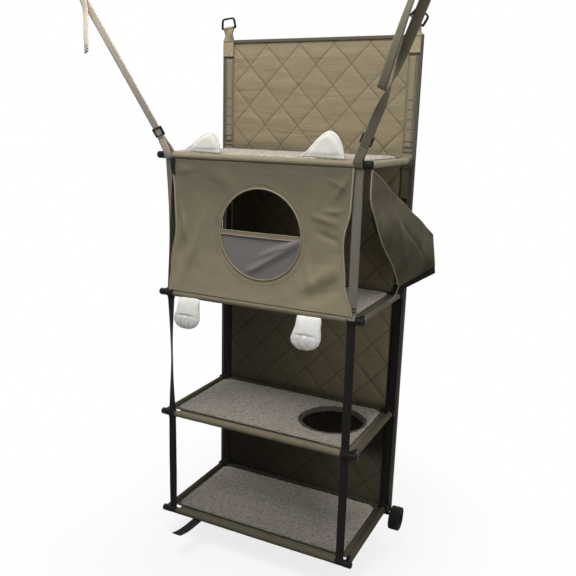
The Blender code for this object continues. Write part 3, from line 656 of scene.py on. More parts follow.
def quilt_lines(tree):
    """Darkening along the quilting seams, from the panel's own place: the sewn line, with painted shade in
    its groove.
    """
    place = add(tree, "TexCoord").outputs["Object"]
    at = add(tree, "SeparateXYZ", {0: place}).outputs
    height = {0: at[2], 1: 1 / DIAMOND_HEIGHT, 2: -QUILT_MID_Z / DIAMOND_HEIGHT}
    up = add(tree, "Math", height, operation="MULTIPLY_ADD").outputs[0]
    seams = {}
    for index, slope in enumerate((1 / DIAMOND_WIDTH, -1 / DIAMOND_WIDTH)):
        row = add(tree, "Math", {0: at[0], 1: slope, 2: up}, operation="MULTIPLY_ADD").outputs[0]
        seams[index] = add(tree, "Math", {0: row, 1: 0.5}, operation="PINGPONG").outputs[0]
    nearest = add(tree, "Math", seams, operation="MINIMUM").outputs[0]
    span = {1: 0.0005 / SEAM_SPACING, 2: 0.0020 / SEAM_SPACING, 3: 0.58, 4: 1.0}
    return add(tree, "MapRange", {0: nearest, **span}).outputs[0]


def fleecy(name, rgb):
    """Curly fleece: tufts with painted highlights on their tips and painted shade between them, times a
    drawn tone.
    """
    made, tree = start_material(name, Roughness=1.0, Sheen_Weight=0.35, Specular_IOR_Level=0.1)
    place = add(tree, "TexCoord").outputs["Object"]
    curls = {"Vector": place, "Scale": TUFTS, "Detail": 5.0, "Roughness": 0.65, "Distortion": 1.2}
    tufts = add(tree, "TexNoise", curls).outputs[0]
    # The tufts' colour follows their bump: painted highlights on the tips, painted shade in the hollows
    tuft_light_and_shade = add(tree, "MapRange", {0: tufts, 1: 0.38, 2: 0.60}).outputs[0]
    dyes = {0: tuft_light_and_shade, 6: tinted(rgb, 0.46), 7: tinted(rgb, 1.22)}
    tone = add(tree, "Attribute", attribute_name="tone").outputs["Fac"]
    tones = {0: add(tree, "Mix", dyes, data_type="RGBA").outputs[2], 1: tone}
    shade = add(tree, "VectorMath", tones, operation="MULTIPLY").outputs[0]
    normal = add(tree, "Bump", {"Height": tufts, "Strength": 0.7, "Distance": 0.003}).outputs[0]
    return dressed(made, shade, normal)


def felted(name, rgb):
    """Brushed felt: a soft nap with a faint uneven tone."""
    made, tree = start_material(name, Roughness=0.95, Sheen_Weight=0.3, Specular_IOR_Level=0.15)
    place = add(tree, "TexCoord").outputs["Object"]
    slow = add(tree, "TexNoise", {"Vector": place, "Scale": FELT_PATCHES, "Detail": 2.0}).outputs[0]
    nap = add(tree, "TexNoise", {"Vector": place, "Scale": NAP, "Detail": 3.0}).outputs[0]
    dyes = {0: slow, 6: tinted(rgb, 0.88), 7: tinted(rgb, 1.06)}
    shade = add(tree, "Mix", dyes, data_type="RGBA").outputs[2]
    normal = add(tree, "Bump", {"Height": nap, "Strength": 0.35, "Distance": 0.0008}).outputs[0]
    return dressed(made, shade, normal)


def netted(name, rgb):
    """Knitted pocket mesh: dark cells between slightly paler threads, drawn at 2 mm."""
    made, tree = start_material(name, Roughness=0.6, Sheen_Weight=0.2, Specular_IOR_Level=0.2)
    uv = add(tree, "UVMap", uv_map="cloth").outputs[0]
    cells = add(tree, "TexVoronoi", {"Vector": uv, "Scale": MESH_CELLS, "Randomness": 0.15}).outputs[0]
    hole = add(tree, "MapRange", {0: cells, 1: 0.25, 2: 0.5}).outputs[0]
    dyes = {0: hole, 6: tinted(rgb, 0.35), 7: tinted(rgb, 1.25)}
    shade = add(tree, "Mix", dyes, data_type="RGBA").outputs[2]
    normal = add(tree, "Bump", {"Height": hole, "Strength": 0.4, "Distance": 0.0005}).outputs[0]
    return dressed(made, shade, normal)


def moulded(name, rgb, roughness, metallic=0.0):
    """Moulded plastic or coated metal: a fine grain breaks its highlights."""
    made, tree = start_material(name, Metallic=metallic, Specular_IOR_Level=0.12)
    place = add(tree, "TexCoord").outputs["Object"]
    grain = add(tree, "TexNoise", {"Vector": place, "Scale": GRAIN, "Detail": 2.0}).outputs[0]
    rough = add(tree, "MapRange", {0: grain, 3: roughness - 0.08, 4: roughness + 0.08}).outputs[0]
    tree.links.new(rough, tree.nodes["Principled BSDF"].inputs["Roughness"])
    dyes = {0: grain, 6: tinted(rgb, 0.85), 7: tinted(rgb, 1.2)}
    shade = add(tree, "Mix", dyes, data_type="RGBA").outputs[2]
    normal = add(tree, "Bump", {"Height": grain, "Strength": 0.15, "Distance": 0.0002}).outputs[0]
    return dressed(made, shade, normal)


# Each finish: what makes it, its colour and its sizes. Woven cloth takes the pitch and depth of its
# threads, the spread of its dye, and whether it has quilting lines, drawn tones and crinkles
FINISHES = {
    # Polyester canvas, plain woven: dull cloth with a fine grid and an uneven dye
    "quilted_canvas": (woven, "quilt", 0.0011, 0.0003, 0.10, True, True, (9, 9, 52)),
    "olive_canvas": (woven, "canvas", 0.0011, 0.0003, 0.14),
    # Canvas that takes a drawn tone of painted light and shade
    "shaded_canvas": (woven, "canvas", 0.0011, 0.0003, 0.14, False, True, (17, 17, 17)),
    "hem_canvas": (woven, "hem", 0.0011, 0.0003, 0.10),
    # Polyester tape and webbing, woven from thick yarn: dull, with a coarse grid
    "binding_tape": (woven, "binding", 0.0016, 0.0004, 0.12),
    "band_webbing": (woven, "band", 0.0021, 0.0003, 0.10),
    "stripe_webbing": (woven, "stripe", 0.0021, 0.0003, 0.08),
    "tan_webbing": (woven, "tan_webbing", 0.0021, 0.0003, 0.10),
    "pale_webbing": (woven, "pale_webbing", 0.0021, 0.00002, 0.06, False, True),
    "grey_webbing": (woven, "grey_webbing", 0.0021, 0.0003, 0.12, False, True),
    "dark_webbing": (woven, "dark_webbing", 0.0021, 0.0003, 0.12),
    "black_webbing": (woven, "black_webbing", 0.0021, 0.0003, 0.15),
    # Polyester fleece, felt and thread, brushed or spun: soft and without gloss
    "curly_fleece": (fleecy, "fleece"),
    "white_felt": (felted, "felt"),
    # The paws' felt: painted light over the ears' felt
    "paw_felt": (felted, "paw"),
    "sewing_thread": (felted, "thread"),
    "dark_thread": (felted, "binding"),
    # Polyester mesh, knitted: small dark openings
    "pocket_mesh": (netted, "mesh"),
    # Acetal, moulded, and steel wire and tube, coated: smooth, with a soft highlight
    "black_plastic": (moulded, "plastic", 0.45),
    "black_wire": (moulded, "plastic", 0.32),
    "rod_steel": (moulded, "steel", 0.4, 0.6),
}


def material(name):
    """The finish of that name, made when it is first needed."""
    made = bpy.data.materials.get(name + "_finish")
    if made is None:
        maker, tone, *sizes = FINISHES[name]
        made = maker(name, getattr(bpy.context.scene.cat_tree.colours, tone), *sizes)
    return made


def seam_distance(x, z):
    """Distance from a place on the panel to the nearest quilting seam."""
    u = x / DIAMOND_WIDTH + (z - QUILT_MID_Z) / DIAMOND_HEIGHT
    v = (z - QUILT_MID_Z) / DIAMOND_HEIGHT - x / DIAMOND_WIDTH
    return min(abs(u - round(u)), abs(v - round(v))) * SEAM_SPACING


def quilt_pad(x, z):
    """Height of the quilting at a place on the panel, from 0 on a seam to 1 in a diamond."""
    inside = min(QUILT_HALF - abs(x), PANEL_HIGH.z - QUILT_MARGIN - z, z - PANEL_LOW.z - QUILT_MARGIN)
    return (1 - math.exp(-seam_distance(x, z) / PAD_SLOPE)) * ease(inside / 0.012)


def edge_tape(share):
    """Inset and depth of the binding tape's section, from the panel's front round to its back."""
    front, back = BAND_Y - 0.0026, PANEL_HIGH.y + 0.0008
    if share < 0.4:
        return BINDING_WIDTH * (1 - share / 0.4), front
    if share > 0.6:
        return BINDING_WIDTH * (share - 0.6) / 0.4, back
    angle = math.pi * (share - 0.4) / 0.2
    return -0.0015 * math.sin(angle), front + (back - front) * (1 - math.cos(angle)) / 2


class CATTREE_OT_panel(bpy.types.Operator):
    """Build the quilted back panel and the tape bound round its edge"""
    bl_idname = "cat_tree.panel"
    bl_label = "Quilted panel"

    def execute(self, context):
        look = context.scene.cat_tree
        half_height = PANEL_HIGH.z - PANEL_MID_Z
        cells = 2 * math.ceil(PANEL_HALF / DIAMOND_WIDTH + half_height / DIAMOND_HEIGHT + 0.5)

        def along_seams(share):
            at = cells * (share - 0.5)
            return at - 0.12 * math.sin(2 * math.pi * at)

        def on_panel(across, down):
            u, v = along_seams(across), along_seams(down)
            return (u - v) / 2 * DIAMOND_WIDTH, PANEL_FACE_Y, QUILT_MID_Z + (u + v) / 2 * DIAMOND_HEIGHT

        bm = bmesh.new()
        mapped_grid(bm, cells * 12, cells * 12, on_panel)
        for sign in SIDES.values():
            cut(bm, (sign * PANEL_HALF, 0, 0), (sign, 0, 0), trim=True)
            cut(bm, (0, 0, PANEL_MID_Z + sign * (half_height - 0.0004)), (0, 0, sign), trim=True)
        flat_uv(bm, 0, 2)
        front = bm.verts[:]
        copied = bmesh.ops.duplicate(bm, geom=front + bm.edges[:] + bm.faces[:])["geom"]
        back = [item for item in copied if isinstance(item, bmesh.types.BMVert)]
        for vert in back:
            vert.co.y = PANEL_HIGH.y - BACK_PAD * (1 - quilt_pad(vert.co.x, vert.co.z))
        for vert in front:
            x, z = vert.co.x, vert.co.z
            pad = quilt_pad(x, z)
            drawn = ease((abs(x) - 0.15) / 0.08)
            wrinkle = 0.8 * ripple(x * 8, z * 44) + 0.5 * ripple(x * 14, z * 90, 7.0)
            wrinkle += 0.6 * drawn * ripple(x * 12, z * 75, 3.0)
            puffed_y = PANEL_FACE_Y - look.sizes.quilt_puff * pad
            vert.co.y = puffed_y - look.sizes.pucker * wrinkle * ease(pad * 1.6)
        fronts = set(front)
        rim = [edge for edge in bm.edges if edge.is_boundary and edge.verts[0] in fronts]
        turned = bmesh.ops.extrude_edge_only(bm, edges=rim)["geom"]
        for vert in turned:
            if isinstance(vert, bmesh.types.BMVert):
                vert.co.y = PANEL_HIGH.y - BACK_PAD
        weld(bm)

        # Painted shade in the bays under the shelves, darkest on the strip seen through the third shelf's
        # hole, and a little painted light high on the right; the back stays as it is
        def panel_painted_light(spot):
            if spot.y > PANEL_BACK_Y:
                return 1.0
            lower = [table_value(QUILT_PAINTED_LIGHT[side], -spot.z) for side in SIDES]
            return lower[0] + (lower[1] - lower[0]) * ease(spot.x / (2 * QUILT_HALF) + 0.5)

        toned(bm, panel_painted_light)
        panel = piece("quilted_panel", bm, "quilted_canvas", "panel", ["back_panel"])

        tape = bmesh.new()
        for corner in range(4):
            def bound(across, down):
                inset, y = edge_tape(across)
                x, z = PANEL_HALF - inset, half_height - inset
                run = 2 * down - 1
                sides = ((x, run * z), (-run * x, z), (-x, -run * z), (run * x, -z))
                return sides[corner][0], y, PANEL_MID_Z + sides[corner][1]

            mapped_grid(tape, 14, 80, bound, (0.024, 2 * (half_height if corner % 2 == 0 else PANEL_HALF)))
        weld(tape)
        piece("panel_binding", tape, "binding_tape", "panel", thick=0.0009)
        return {"FINISHED"}


class CATTREE_OT_bands(bpy.types.Operator):
    """Build the side webbing with its stripe, its loops round the rear rods and its bar tacks"""
    bl_idname = "cat_tree.bands"
    bl_label = "Side webbing"

    def execute(self, context):
        look = context.scene.cat_tree
        thick = look.sizes.webbing_thick
        face = BAND_Y - thick / 2
        parts = {
            "upper": (PANEL_HIGH.z - 0.001, SHELF_Z[1], SHELF_Z[:1],
                      "band_webbing", "stripe_webbing", "dark_thread"),
            "lower": (SHELF_Z[1], PANEL_LOW.z + 0.001, SHELF_Z[1:],
                      "black_webbing", "black_webbing", "black_webbing"),
        }
        for side, sign in SIDES.items():
            x = sign * BAND_X
            stripe_x = x - sign * STRIPE_INSET
            for part, (top, foot, rods, finish, stripe_finish, thread) in parts.items():
                bm, stripe, tacks = bmesh.new(), bmesh.new(), bmesh.new()

                def strip(share, down):
                    z = top + (foot - top) * down
                    return x + BAND_WIDTH * (share - 0.5), face - 0.0004 * ripple(x * 9, z * 30), z

                mapped_grid(bm, 6, 160, strip, (BAND_WIDTH, top - foot))
                for z in rods:
                    rod = Vector((x, HINGE_Y, z))
                    stations = [(Vector((x, face - 0.001, z + rise)), LEVEL) for rise in (0.024, 0.014)]
                    stations += loop_stations(rod, ROD_RADIUS + 0.0012, 55, 305, LEVEL)
                    stations += [(Vector((x, face - 0.001, z - rise)), LEVEL) for rise in (0.014, 0.024)]
                    webbing_grid(bm, stations, BAND_WIDTH - 0.003, 40)
                    for rise in BAND_TACKS:
                        spot = Vector((x, face - 0.0019, z + rise))
                        bar(tacks, spot, LEVEL, OUTWARD, (BAND_WIDTH * 0.84, 0.0030, 0.0016))
                    for rise in BAND_MARKS if part == "upper" else ():
                        spot = Vector((stripe_x, face - 0.0021, z + rise))
                        bar(tacks, spot, LEVEL, OUTWARD, (0.013, 0.0022, 0.0012))

                    def centre(share, down):
                        rise = STRIPE_START + STRIPE_RUN * down
                        return stripe_x + STRIPE_WIDTH * (share - 0.5), face - 0.0014, z + rise

                    mapped_grid(stripe, 4, 40, centre, (STRIPE_WIDTH, STRIPE_RUN))
                ending = side + "_" + part
                nodes = ["side_band_" + side] if part == "upper" else ()
                piece("side_webbing_" + ending, bm, finish, "panel", nodes, thick=thick)
                piece("side_stripe_" + ending, stripe, stripe_finish, "panel",
                      thick=0.0012)
                piece("side_tacks_" + ending, tacks, thread, "panel", bevel=TACK_BEVEL)
        return {"FINISHED"}


class CATTREE_OT_rings(bpy.types.Operator):
    """Build the hang rings, their webbing tabs and the box-stitched patches"""
    bl_idname = "cat_tree.rings"
    bl_label = "Rings and tabs"

    def execute(self, context):
        look = context.scene.cat_tree
        thick = look.sizes.webbing_thick
        for side, lean in (("left", math.radians(-6)), ("right", math.radians(38))):
            x = SIDES[side] * BAND_X
            rod = Vector((x, 0, RING_Z))
            tilt = Matrix.Rotation(lean, 3, "Y")
            node = "hang_ring_" + side
            ring = cad_copy(node)
            ring.normal_update()
            for vert in ring.verts:
                vert.co += vert.normal * 0.0009
                vert.co.x = x + (vert.co.x - x) * 1.12
                vert.co.z = RING_Z + (vert.co.z - RING_Z) * 0.86
            bmesh.ops.rotate(ring, verts=ring.verts, cent=rod, matrix=tilt)
            piece("wire_ring_" + side, ring, "black_wire", "ring_" + side, [node], levels=1)
            radius = extent("hang_ring_left").y / 2 + SNUG + thick / 2
            leaning = tilt @ LEVEL
            waist = (PANEL_HIGH.z + RING_Z) / 2
            twist = (leaning + Vector((0, 0.45 * math.copysign(1, lean), 0))).normalized()
            rim = PANEL_HIGH.z - 0.002
            runs = (
                (-0.0008, PATCH_LOW_Z, LEVEL), (-0.0008, PATCH_LOW_Z + 0.02, LEVEL), (-0.0012, rim, LEVEL),
                (-0.0026, waist, twist), (0.0026, waist, twist), (0.0010, rim, LEVEL),
                (0.0010, PATCH_LOW_Z, LEVEL),
            )
            stations = [(Vector((x, y, z)), across) for y, z, across in runs]
            stations[4:4] = loop_stations(rod, radius, 235, -55, leaning, 12)
            bm = bmesh.new()
            webbing_grid(bm, stations, BAND_WIDTH, 100, 8)
            piece("tab_webbing_" + side, bm, "tan_webbing", "panel", ["ring_tab_" + side],
                  thick=thick)
            threads, dark = bmesh.new(), bmesh.new()
            half, top, low = BAND_WIDTH / 2 - 0.004, PANEL_HIGH.z - 0.007, PATCH_LOW_Z + 0.005
            y = -0.0008 - thick / 2
            spots = ((x - half, low), (x + half, low), (x + half, top), (x - half, top))
            corners = [Vector((across, y, z)) for across, z in spots]
            for line in (corners + corners[:1], corners[::2], corners[1::2]):
                stitches(threads, line, OUTWARD, look)
            piece("tab_stitching_" + side, threads, "sewing_thread", "panel")
            foot, brow = Vector((x, y, PATCH_LOW_Z + 0.0012)), Vector((x, y - 0.0002, PANEL_HIGH.z - 0.003))
            bar(dark, foot, LEVEL, OUTWARD, (BAND_WIDTH, 0.0024, 0.0014))
            bar(dark, brow, LEVEL, OUTWARD, (BAND_WIDTH * 0.9, 0.0020, 0.0012))
            piece("tab_tacks_" + side, dark, "dark_thread", "panel", bevel=TACK_BEVEL)
        return {"FINISHED"}


class CATTREE_OT_decks(bpy.types.Operator):
    """Build the shelves' canvas with a sewn sleeve along each edge"""
    bl_idname = "cat_tree.decks"
    bl_label = "Shelf canvas"

    def execute(self, context):
        look = context.scene.cat_tree
        reach = HINGE_Y - FRONT_Y
        for index, shelf in enumerate(SHELVES):
            z = SHELF_Z[index]

            def plate(across, down):
                x = SIDE_X * (2 * across - 1)
                y = FRONT_Y + reach * down
                sag = 0.0012 * arch(across) * arch(down)
                return x, y, z - sag + 0.0004 * ripple(x * 25, y * 25, z)

            bm = bmesh.new()
            mapped_grid(bm, 52, 28, plate, (2 * SIDE_X, reach))
            cuts = [((sign * NOTCH_X, 0, 0), (1, 0, 0)) for sign in SIDES.values()]
            cuts += [((0, y, 0), (0, 1, 0)) for y in (NOTCH_FRONT_Y, NOTCH_REAR_Y)]
            for point, normal in cuts:
                cut(bm, point, normal)

            def cut_away(face):
                spot = face.calc_center_median()
                corner = abs(spot.x) > NOTCH_X and not NOTCH_FRONT_Y < spot.y < NOTCH_REAR_Y
                return corner or (index == 2 and (spot - HOLE).xy.length < HOLE_OUTER - 0.002)

            bmesh.ops.delete(bm, geom=[face for face in bm.faces if cut_away(face)], context="FACES")
            wrap = SLEEVE - look.sizes.canvas_thick / 2
            for y in (FRONT_Y, HINGE_Y):
                tube(bm, (-NOTCH_X, y, z), (NOTCH_X, y, z), wrap, wrinkle=SLEEVE_WRINKLE)
            for x in (-SIDE_X, SIDE_X):
                tube(bm, (x, NOTCH_FRONT_Y, z), (x, NOTCH_REAR_Y, z), wrap, rows=28, wrinkle=SLEEVE_WRINKLE)

            # Painted shade on the lower decks and on their side and rear sleeves, and painted light on the
            # top shelf's side and rear sleeves
            def deck_painted_light(spot):
                edge = abs(spot.x) > SIDE_X - SLEEVE or spot.y > HINGE_Y - SLEEVE
                return DECK_PAINTED_LIGHT[index][1 if edge else 0]

            toned(bm, deck_painted_light)
            deck = piece(shelf + "_canvas", bm, "shaded_canvas", shelf, [shelf + "_deck"],
                         thick=look.sizes.canvas_thick)
            seams = bmesh.new()
            edge = SLEEVE + 0.004
            top = z + look.sizes.canvas_thick
            left, right, front, rear = edge - SIDE_X, SIDE_X - edge, FRONT_Y + edge, HINGE_Y - edge
            spots = ((left, front), (right, front), (right, rear), (left, rear))
            corners = [Vector((x, y, top)) for x, y in spots]
            stitches(seams, corners + corners[:1], Vector((0, 0, 1)), look)
            piece(shelf + "_stitching", seams, "dark_thread", shelf)
        return {"FINISHED"}


class CATTREE_OT_mats(bpy.types.Operator):
    """Build the curly fleece mats"""
    bl_idname = "cat_tree.mats"
    bl_label = "Fleece mats"

    def execute(self, context):
        look = context.scene.cat_tree
        curl = look.sizes.fleece_curl
        for shelf, (front, rear) in zip(SHELVES, FLEECE_PAINTED_LIGHT):
            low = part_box(shelf + "_mat")[0].z
            pad = puffed(cad_copy(shelf + "_mat"), 0.006, 4.0, 0.0025)
            for vert in pad.verts:
                vert.co.z = max(vert.co.z, low)
            bm = remeshed(pad, look.sizes.fleece_grid)
            bm.normal_update()
            for vert in bm.verts:
                spot = vert.co * 120
                lift = noise.noise(spot) + 0.6 * noise.noise(spot * 2.1)
                vert.co += vert.normal * curl * lift * ease(vert.normal.z + 0.6)
            # Painted light and shade on the mat, from its front to its rear
            toned(bm, lambda spot: front + (rear - front) * ease((spot.y - FRONT_Y) / (HINGE_Y - FRONT_Y)))
            mat = piece(shelf + "_fleece", bm, "curly_fleece", shelf, [shelf + "_mat"])
        return {"FINISHED"}


class CATTREE_OT_fittings(bpy.types.Operator):
    """Finish the steel rods and build the corner fittings and strap sliders"""
    bl_idname = "cat_tree.fittings"
    bl_label = "Rods, corners and sliders"

    def execute(self, context):
        for shelf in SHELVES:
            for rod in ("front_rod", "rear_rod", "side_rod_left", "side_rod_right"):
                for place in frame["nodes"][shelf + "_" + rod].material_slots:
                    place.material = material("rod_steel")
            for side in SIDES:
                node = shelf + "_corner_" + side
                piece(node.replace("corner", "elbow"), cad_copy(node), "black_plastic", shelf, [node],
                      bevel=0.0005)
        for side in SIDES:
            node = "strap_slider_" + side
            piece("tri_glide_" + side, cad_copy(node), "black_plastic", "slider_" + side, [node],
                  bevel=0.0004)
        return {"FINISHED"}


class CATTREE_OT_hole(bpy.types.Operator):
    """Build the bound rim of the third shelf's hole"""
    bl_idname = "cat_tree.hole"
    bl_label = "Shelf hole"

    def execute(self, context):
        low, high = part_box("hole_rim")
        half = (high.z - low.z) / 2

        def place(across, down):
            angle, turn = 2 * math.pi * across, 2 * math.pi * down
            radius = HOLE_OUTER - 0.002 + 0.0026 * math.cos(turn)
            wave = 1 + 0.08 * ripple(math.cos(angle) * 9, math.sin(angle) * 9)
            x, y = radius * math.cos(angle), radius * math.sin(angle)
            return HOLE + Vector((x, y, half * wave * math.sin(turn)))

        bm = bmesh.new()
        mapped_grid(bm, 72, 14, place, (2 * math.pi * HOLE_OUTER, 4 * half))
        weld(bm)
        piece("hole_binding", bm, "binding_tape", "shelf_3", ["hole_rim"])
        return {"FINISHED"}


def bay_at(z):
    """The bay between two shelves that a height lies in, and its share of the way down."""
    for bay, (high, low) in enumerate(zip(SHELF_Z, SHELF_Z[1:])):
        if z >= low:
            return bay, min(max((high - z) / (high - low), 0.0), 1.0)
    return len(SHELF_Z) - 2, 1.0


class CATTREE_OT_front_straps(bpy.types.Operator):
    """Build the front straps, the left one turned aside in the upper bays"""
    bl_idname = "cat_tree.front_straps"
    bl_label = "Front straps"

    def execute(self, context):
        look = context.scene.cat_tree
        thick = look.sizes.webbing_thick
        loop = ROD_RADIUS + SNUG + thick / 2
        parts = (
            ("upper", SHELF_Z[0] - SLEEVE - SNUG, SHELF_Z[1], "grey_webbing"),
            ("lower", SHELF_Z[1], SHELF_Z[3] + loop, "black_webbing"),
        )
        for side, (turns, foot_tone) in STRAP_TURNS.items():
            x = SIDES[side] * STRAP_X

            def place(share, z, front):
                bay, down = bay_at(z)
                loose = arch(down)
                angle = math.radians(turns[bay]) * loose
                wave = 0.0012 * ripple(z * 11, x * 5) * loose
                wide = (share - 0.5) * STRAP_WIDTH
                return x + wide * math.cos(angle), FRONT_Y + front + wave + wide * math.sin(angle), z

            def rod_bulge(z):
                return sum(loop * bell(z - rod, STRAP_BULGE_RUN) for rod in SHELF_Z[1:3])

            for part, top, foot, finish in parts:
                def strip(share, down):
                    z = top + (foot - top) * down
                    return place(share, z, -rod_bulge(z))

                bm = bmesh.new()
                mapped_grid(bm, 6, 180, strip, (STRAP_WIDTH, top - foot))
                if part == "lower":
                    for z in SHELF_Z[1:3]:
                        def back(share, down):
                            rise = (down - 0.5) * LOOP_BACK_RUN
                            behind = (loop + SNUG) * bell(rise, STRAP_BULGE_RUN)
                            return x + (share - 0.5) * STRAP_WIDTH, FRONT_Y + behind, z + rise

                        mapped_grid(bm, 6, 16, back, (STRAP_WIDTH, LOOP_BACK_RUN))
                    rod = Vector((x, FRONT_Y, SHELF_Z[3]))
                    webbing_grid(bm, loop_stations(rod, loop, 90, 450, LEVEL, 20), STRAP_WIDTH, 32)
                toned(bm, lambda spot: 1 + (foot_tone - 1) * ease((SHELF_Z[0] - 0.115 - spot.z) / 0.055))
                piece(f"front_webbing_{side}_{part}", bm, finish, "front_webbing",
                      ["front_strap_" + side] if part == "upper" else (), thick=thick)
            tacks = bmesh.new()
            for z in SHELF_Z[1:3]:
                for rise in STRAP_TACKS:
                    left, right = (Vector(place(share, z + rise, 0)) for share in (0, 1))
                    wide = right - left
                    out = Vector((wide.y, -wide.x, 0)).normalized()
                    spot = (left + right) / 2 + out * 0.0012
                    bar(tacks, spot, wide, out, (STRAP_WIDTH * 0.86, 0.0024, 0.0014))
            piece("front_tacks_" + side, tacks, "black_webbing", "front_webbing",
                  bevel=TACK_BEVEL)
        return {"FINISHED"}


class CATTREE_OT_upper_straps(bpy.types.Operator):
    """Build the upper straps with their loops, eyes and free tails"""
    bl_idname = "cat_tree.upper_straps"
    bl_label = "Upper straps"

    def execute(self, context):
        look = context.scene.cat_tree
        thick = look.sizes.webbing_thick
        layer = thick / 2 + SNUG
        loop = ROD_RADIUS + SNUG + thick / 2
        for side, turn, finish in (("left", 0.0, "pale_webbing"), ("right", math.pi, "dark_webbing")):
            along = Vector(JOINTS[f"slider_{side}_slide"]["axis"]).normalized()
            across = (LEVEL - along * along.x).normalized()
            off = along.cross(across)
            up = Vector((0, -off.z, off.y))
            rod = Vector((SIDES[side] * STRAP_X, FRONT_Y, SHELF_Z[0]))
            start = rod + up * LOOP_RISE
            face = -1 if turn else 1

            def on_run(distance, lift):
                angle = turn * ease((distance - 0.065) / 0.21)
                turned = across * math.cos(angle) + off * math.sin(angle)
                raised = off * math.cos(angle) - across * math.sin(angle)
                return start + along * distance + raised * lift * face, turned

            stations = [on_run(STRAP_SEAM, -layer), (start - off * loop * face, LEVEL)]
            for i in range(9):
                angle = math.radians(180 + 180 * i / 8)
                stations.append((rod + (off * math.cos(angle) * face + up * math.sin(angle)) * loop, LEVEL))
            stations += [(start + off * loop * face, LEVEL), on_run(STRAP_SEAM, layer)]
            stations += [on_run(STRAP_SEAM + (STRAP_RUN - 0.065) * i / 14, layer) for i in range(1, 15)]
            for i in range(9):
                angle = math.pi * i / 8
                reach, lift = EYE_RADIUS * math.sin(angle), EYE_RADIUS * math.cos(angle)
                stations.append(on_run(STRAP_RUN + reach, lift))
            stations.append(on_run(STRAP_RUN - 0.03, -layer))
            for distance, sideways, lift, drop, lean in TAILS[side]:
                spot = start + along * distance + across * sideways + off * lift - Vector((0, 0, drop))
                leaning = across * math.cos(math.radians(lean)) + off * math.sin(math.radians(lean))
                stations.append((spot, leaning * face))
            bm = bmesh.new()
            run = webbing_grid(bm, stations, STRAP_WIDTH, 300)
            # Painted light and shade along the upper straps: paler high up and darker at the foot, read only
            # by the pale strap's finish
            toned(bm, lambda spot: 0.75 + 0.45 * ease((spot.z - SHELF_Z[0]) / 0.30))
            strap = piece("upper_webbing_" + side, bm, finish, "front_webbing", ["upper_strap_" + side],
                          thick=thick)
            tacks = bmesh.new()
            for distance in (0.026, 0.033):
                place = on_run(distance, 0)[0]
                for lift in (-1, 1):
                    spot = place + off * lift * (2 * layer)
                    bar(tacks, spot, across, off, (STRAP_WIDTH * 0.85, 0.0024, 0.0012))
            (before, _), (tip, leaning) = stations[-2:]
            end_run = (tip - before).normalized()
            out = leaning.cross(end_run)
            for back in (0.003, 0.008, 0.014):
                bar(tacks, tip - end_run * back, leaning, out, (STRAP_WIDTH * 0.9, 0.0016, 0.0026))
            piece("upper_tacks_" + side, tacks, "dark_thread", "front_webbing",
                  bevel=TACK_BEVEL)
        return {"FINISHED"}


def front_depth(x, z):
    """How far the house front stands out at a place, from its folds."""
    depth = 0.0
    spot = Vector((x, z))
    for x0, z0, x1, z1, half, lift in FRONT_FOLDS:
        start, end = Vector((x0, z0)), Vector((x1, z1))
        run = end - start
        share = min(max((spot - start).dot(run) / run.length_squared, -0.25), 1.25)
        near = (spot - start - run * share).length
        taper = arch((share + 0.25) / 1.5) ** 2
        depth += lift * taper * bell(near, half)
    return depth + 0.0008 * ripple(x * 30, z * 30)


def front_edge(down, share):
    """A point on the house front's border, by share of the way down and across."""
    left, right = table_value(LEFT_EDGE, down), table_value(RIGHT_EDGE, down)
    return Vector((left + (right - left) * share, HOUSE_TOP_Z + (HOUSE_LOW_Z - HOUSE_TOP_Z) * down))


def front_border(share):
    """A point on the house front's border, by share of the way round from its top left."""
    quarter = share * 4 % 4
    step = quarter % 1
    if quarter < 1:
        return front_edge(0, step)
    if quarter < 2:
        return front_edge(step, 1)
    if quarter < 3:
        return front_edge(1, 1 - step)
    return front_edge(1 - step, 0)


def door_ring(radius, lift, steps):
    """Points on a circle round the door, in front of the cloth by a lift."""
    points = []
    for i in range(steps):
        angle = 2 * math.pi * i / steps
        x, z = radius * math.cos(angle), radius * math.sin(angle)
        points.append(Vector((DOOR.x + x, FRONT_PANEL_Y - lift, DOOR.z + z)))
    return points


class CATTREE_OT_house_front(bpy.types.Operator):
    """Build the house front with its rolled edges and the seam round its door"""
    bl_idname = "cat_tree.house_front"
    bl_label = "House front"

    def execute(self, context):
        look = context.scene.cat_tree
        door = Vector((DOOR.x, DOOR.z))

        def place(across, down):
            border = front_border(across)
            spoke = border - door
            flat = door + spoke.normalized() * DOOR_RADIUS * (1 - down) + spoke * down
            held = ease(down / 0.3) * ease((1 - down) / 0.2)
            side = ease((1 - down) / 0.08)
            return flat.x, FRONT_PANEL_Y - front_depth(*flat) * max(held, 0.35 * side), flat.y

        bm = bmesh.new()
        mapped_grid(bm, 240, 44, place)
        flat_uv(bm, 0, 2)
        weld(bm)
        # Painted light and shade on the house front: darker under the top shelf, paler towards its foot
        toned(bm, lambda spot: 0.54 + 0.80 * (HOUSE_TOP_Z - spot.z) / (HOUSE_TOP_Z - HOUSE_LOW_Z))
        front = piece("house_front", bm, "shaded_canvas", "front_webbing", ["front_panel"],
                      thick=look.sizes.canvas_thick)
        for side, share in (("left", 0), ("right", 1)):
            edge = [front_edge(i / 40, share) for i in range(41)]
            points = [(spot.x, FRONT_PANEL_Y, spot.y) for spot in edge]
            cord = rod_curve("front_piping", points, look.sizes.piping)
            piece("front_piping_" + side, cord, "hem_canvas", "front_webbing")
        seam = bmesh.new()
        ring = door_ring(DOOR_RADIUS + 0.012, 0.0011, 120)
        stitches(seam, ring + ring[:1], OUTWARD, look)
        piece("door_stitching", seam, "hem_canvas", "front_webbing")
        return {"FINISHED"}


